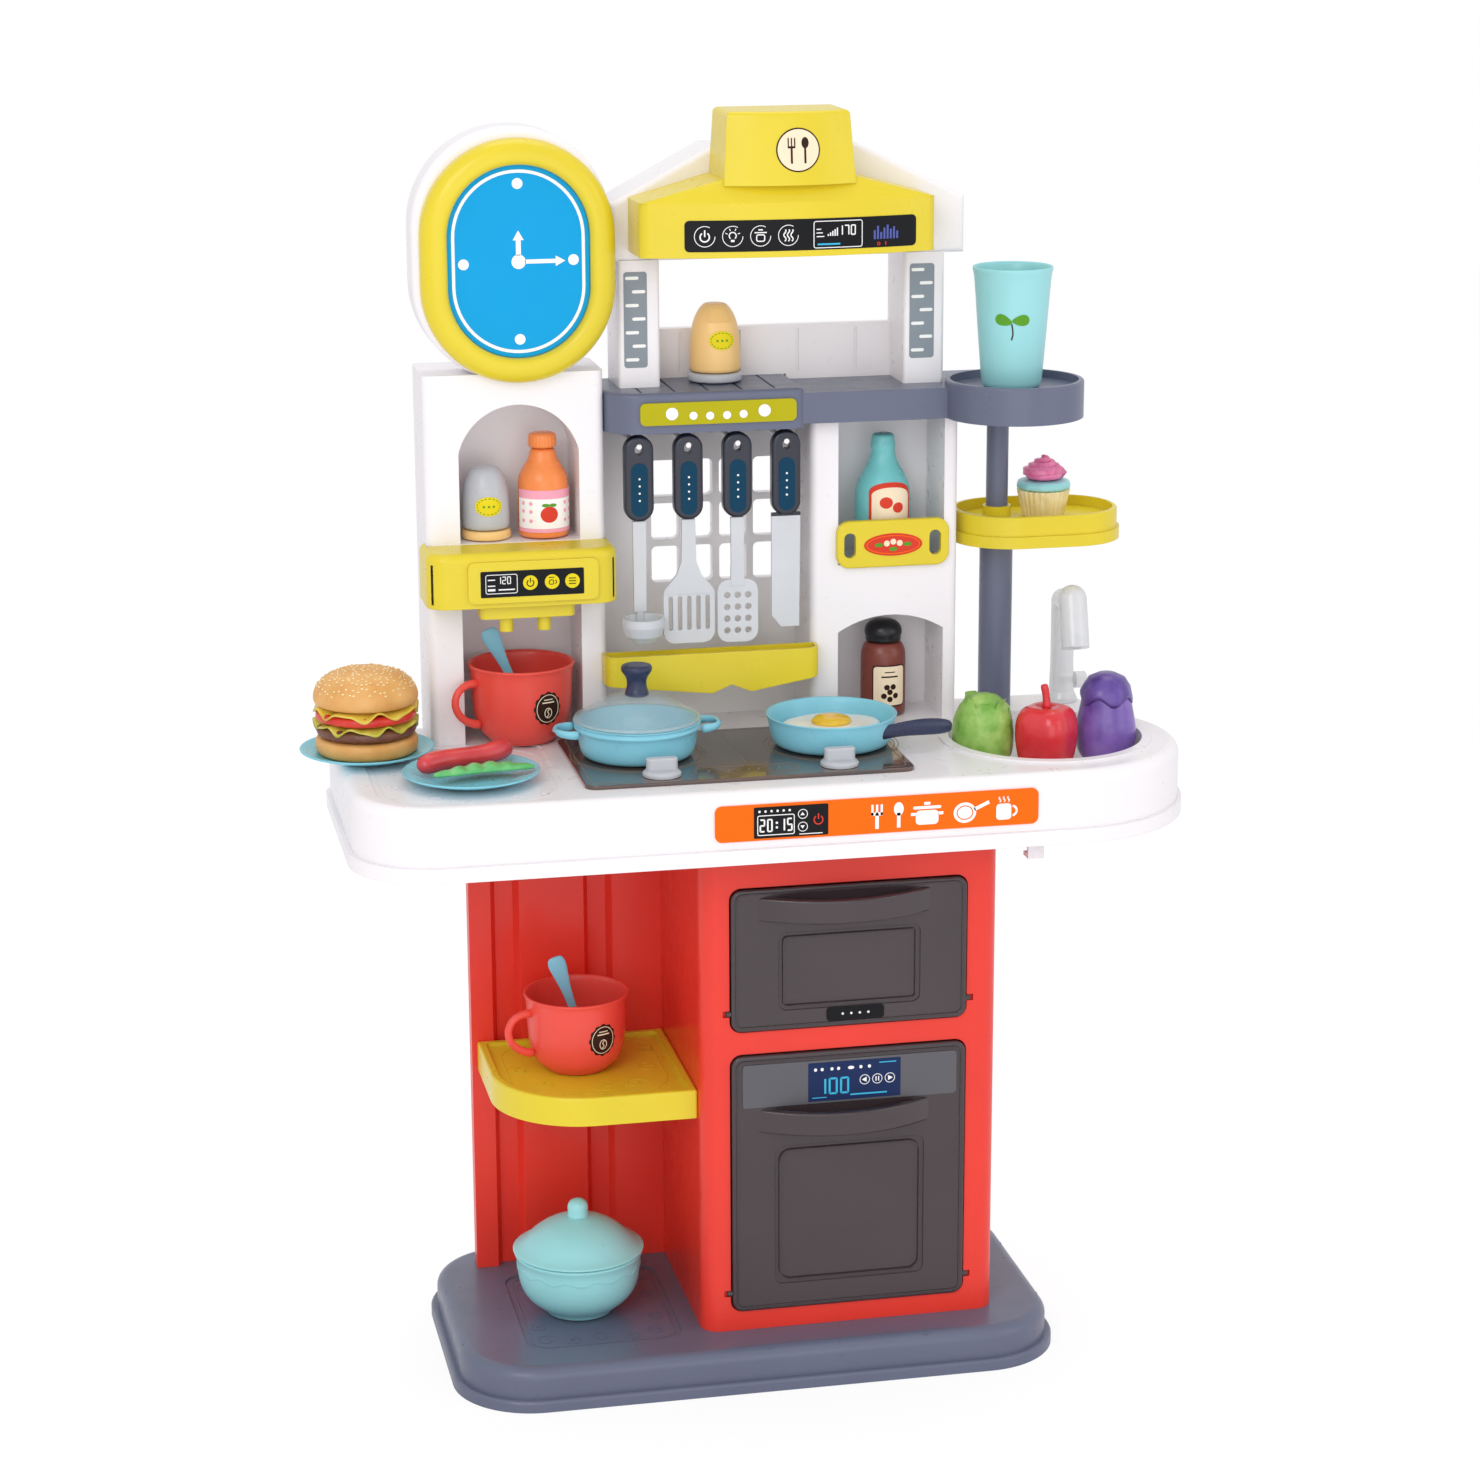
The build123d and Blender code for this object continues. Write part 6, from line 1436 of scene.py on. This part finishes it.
def makeAubergine():
    centre, profile, cap = (aubergine[key] for key in ("centre", "wall", "cap"))
    lathed("aubergineBody", profile, centre, "eggplant", special["aubergine"], 56, 1, replaces="eggplant")
    star = lambda angle, radius, height: 1 + 0.02 * cos(5 * angle)
    hood = lathed("aubergineCap", cap, centre, "eggplant", special["aubergineCap"], 60, 0, star)
    for vert in hood.data.vertices:
        h = vert.co.z / mm - centre[2]
        if h < 58:
            angle = atan2(vert.co.y / mm - centre[1], vert.co.x / mm - centre[0])
            vert.co.z += 3.2 * sin(5 * angle) * mm


makeCupcake()
makeCabbage()
makeCapsicum()
makeAubergine()


# Tureen

tureen = {
    "centre": (-127.0, -16.0, 31.1),
    "wall": [(0, 0.2), (23, 0.2), (25.4, 0.8), (26.2, 3), (29, 5.6), (36.4, 10.6), (42.6, 18), (45.8, 27),
             (46.8, 38), (47, 45), (48.8, 47.4), (49, 49.4), (47.8, 50), (45.2, 50), (44.2, 46),
             (43.2, 30), (40, 20), (34, 13), (20, 7), (0, 6.2)],
    "lidDome": [(42.2, 0.1), (49.0, 0.1), (50, 0.8), (49.8, 2.0), (46, 3.0), (40.4, 7.8), (34, 14.4),
                (24, 21.0), (13, 25.0), (8.6, 25.9), (0, 26.2), (0, 23.2), (12.6, 22.0), (23.0, 18.2),
                (33, 10.8), (38.4, 5.4), (42.2, 1.8), (42.2, 0.1)],
    "lidKnob": [(0, 25.0), (8.6, 25.0), (8.0, 27.0), (7.4, 29.6), (8.0, 32.4), (7.6, 36.0), (5.0, 38.8),
                (2, 39.8), (0, 40.0)],
}


def makeTureen():
    centre, profile, dome, knob = (tureen[key] for key in ("centre", "wall", "lidDome", "lidKnob"))
    lathed("tureenBowl", profile, centre, "tureen", plastic["aquaPale"], 64, replaces="tureen")
    place = onRound(-127.0, -16.0, wallRadius(profile, 31.1), -90.0)
    wave = []
    for part in range(2):
        start = -135 + part * 135
        wave += path([(start + t * 4.5, 31.1 + 38.5 + 1.6 * sin((start + t * 4.5) * 0.28))
                      for t in range(31)], 0.8)
    flatPiece("tureenWave", wave, place, "tureen", plastic["aquaPale"], -0.2, 0.35)
    lid = (centre[0], centre[1], centre[2] + 50.3)
    lathed("tureenLidDome", dome, lid, "tureen_lid", plastic["aquaPale"], 64, replaces="tureen_lid")
    lathed("tureenLidKnob", knob, lid, "tureen_lid", plastic["aquaPale"], 40)


makeTureen()
print("bottles, food and tureen done")


# Studio: pale floor, soft lamps, camera at the photograph's angle

studio = {"floorSize": 12.0, "backdrop": "#FFFFFF", "worldStrength": 0.86,
          "camera": (-0.5127, -2.4811, 1.1328), "yaw": 11.755, "pitch": 14.686, "roll": -0.253,
          "lens": 85.62}


def makeFloor():
    material, tree = blankMaterial("paleStudioFloor")
    path = addNode(tree, "ShaderNodeLightPath")
    diffuse = addNode(tree, "ShaderNodeBsdfDiffuse", {"Color": linear("#F4F3F5")})
    glow = addNode(tree, "ShaderNodeEmission", {"Color": linear("#FFFFFF"), "Strength": 1.06})
    share = addNode(tree, "ShaderNodeMath", {0: (path, "Is Camera Ray"), 1: 0.8}, operation="MULTIPLY")
    blend = addNode(tree, "ShaderNodeMixShader", {0: (share, 0), 1: (diffuse, "BSDF"),
                                                  2: (glow, "Emission")})
    addNode(tree, "ShaderNodeOutputMaterial", {"Surface": (blend, "Shader")})
    half = studio["floorSize"] * 500
    floor = meshObject("studioFloor", [(-half, -half, -0.2), (half, -half, -0.2), (half, half, -0.2),
                                       (-half, half, -0.2)],
                       [(0, 1, 2, 3)], finish=(None, material), smooth=False)


def makeWorld():
    world = bpy.data.worlds.new("studioWorld")
    bpy.context.scene.world = world
    world.use_nodes = True
    tree = world.node_tree
    tree.nodes.clear()
    path = addNode(tree, "ShaderNodeLightPath")
    soft = addNode(tree, "ShaderNodeBackground", {"Color": linear("#FBFAFC"),
                                                  "Strength": studio["worldStrength"]})
    seen = addNode(tree, "ShaderNodeBackground", {"Color": linear(studio["backdrop"]), "Strength": 1.0})
    either = addNode(tree, "ShaderNodeMath", {0: (path, "Is Camera Ray"), 1: (path, "Is Transmission Ray")},
                     operation="MAXIMUM")
    blend = addNode(tree, "ShaderNodeMixShader", {0: (either, 0), 1: (soft, "Background"),
                                                         2: (seen, "Background")})
    addNode(tree, "ShaderNodeOutputWorld", {"Surface": (blend, "Shader")})


def makeLamp(name, position, target, size, power):
    data = bpy.data.lights.new(name, "AREA")
    data.shape = "RECTANGLE"
    data.size, data.size_y = size
    data.energy = power
    lamp = bpy.data.objects.new(name, data)
    lamp.location = position
    lamp.rotation_euler = (Vector(target) - Vector(position)).to_track_quat("-Z", "Y").to_euler()
    bpy.context.scene.collection.objects.link(lamp)


def makeCamera():
    yaw, pitch, roll = (radians(studio[key]) for key in ("yaw", "pitch", "roll"))
    forward = Vector((sin(yaw) * cos(pitch), cos(yaw) * cos(pitch), -sin(pitch)))
    right = Vector((cos(yaw), -sin(yaw), 0))
    up = right.cross(forward)
    tiltedRight = cos(roll) * right + sin(roll) * up
    tiltedUp = -sin(roll) * right + cos(roll) * up
    data = bpy.data.cameras.new("photoCamera")
    data.lens = studio["lens"]
    data.sensor_width = 36
    data.sensor_fit = "HORIZONTAL"
    camera = bpy.data.objects.new("photoCamera", data)
    matrix = Matrix((tiltedRight, tiltedUp, -forward)).transposed().to_4x4()
    matrix.translation = Vector(studio["camera"])
    camera.matrix_world = matrix
    bpy.context.scene.collection.objects.link(camera)
    bpy.context.scene.camera = camera


makeFloor()
makeWorld()
makeLamp("keyLamp", (-1.5, -2.6, 2.2), (0, 0, 0.5), (1.6, 1.6), 24)
makeLamp("fillLamp", (2.2, -1.8, 1.2), (0, 0, 0.4), (1.4, 1.8), 7)
makeLamp("frontLamp", (-0.3, -3.0, 0.8), (0, 0, 0.5), (2.2, 1.6), 11)
makeLamp("topLamp", (0.2, 0.6, 2.8), (0, 0, 0.5), (1.6, 1.2), 10)
makeCamera()
bpy.context.scene.view_settings.view_transform = "Standard"
print("studio done")
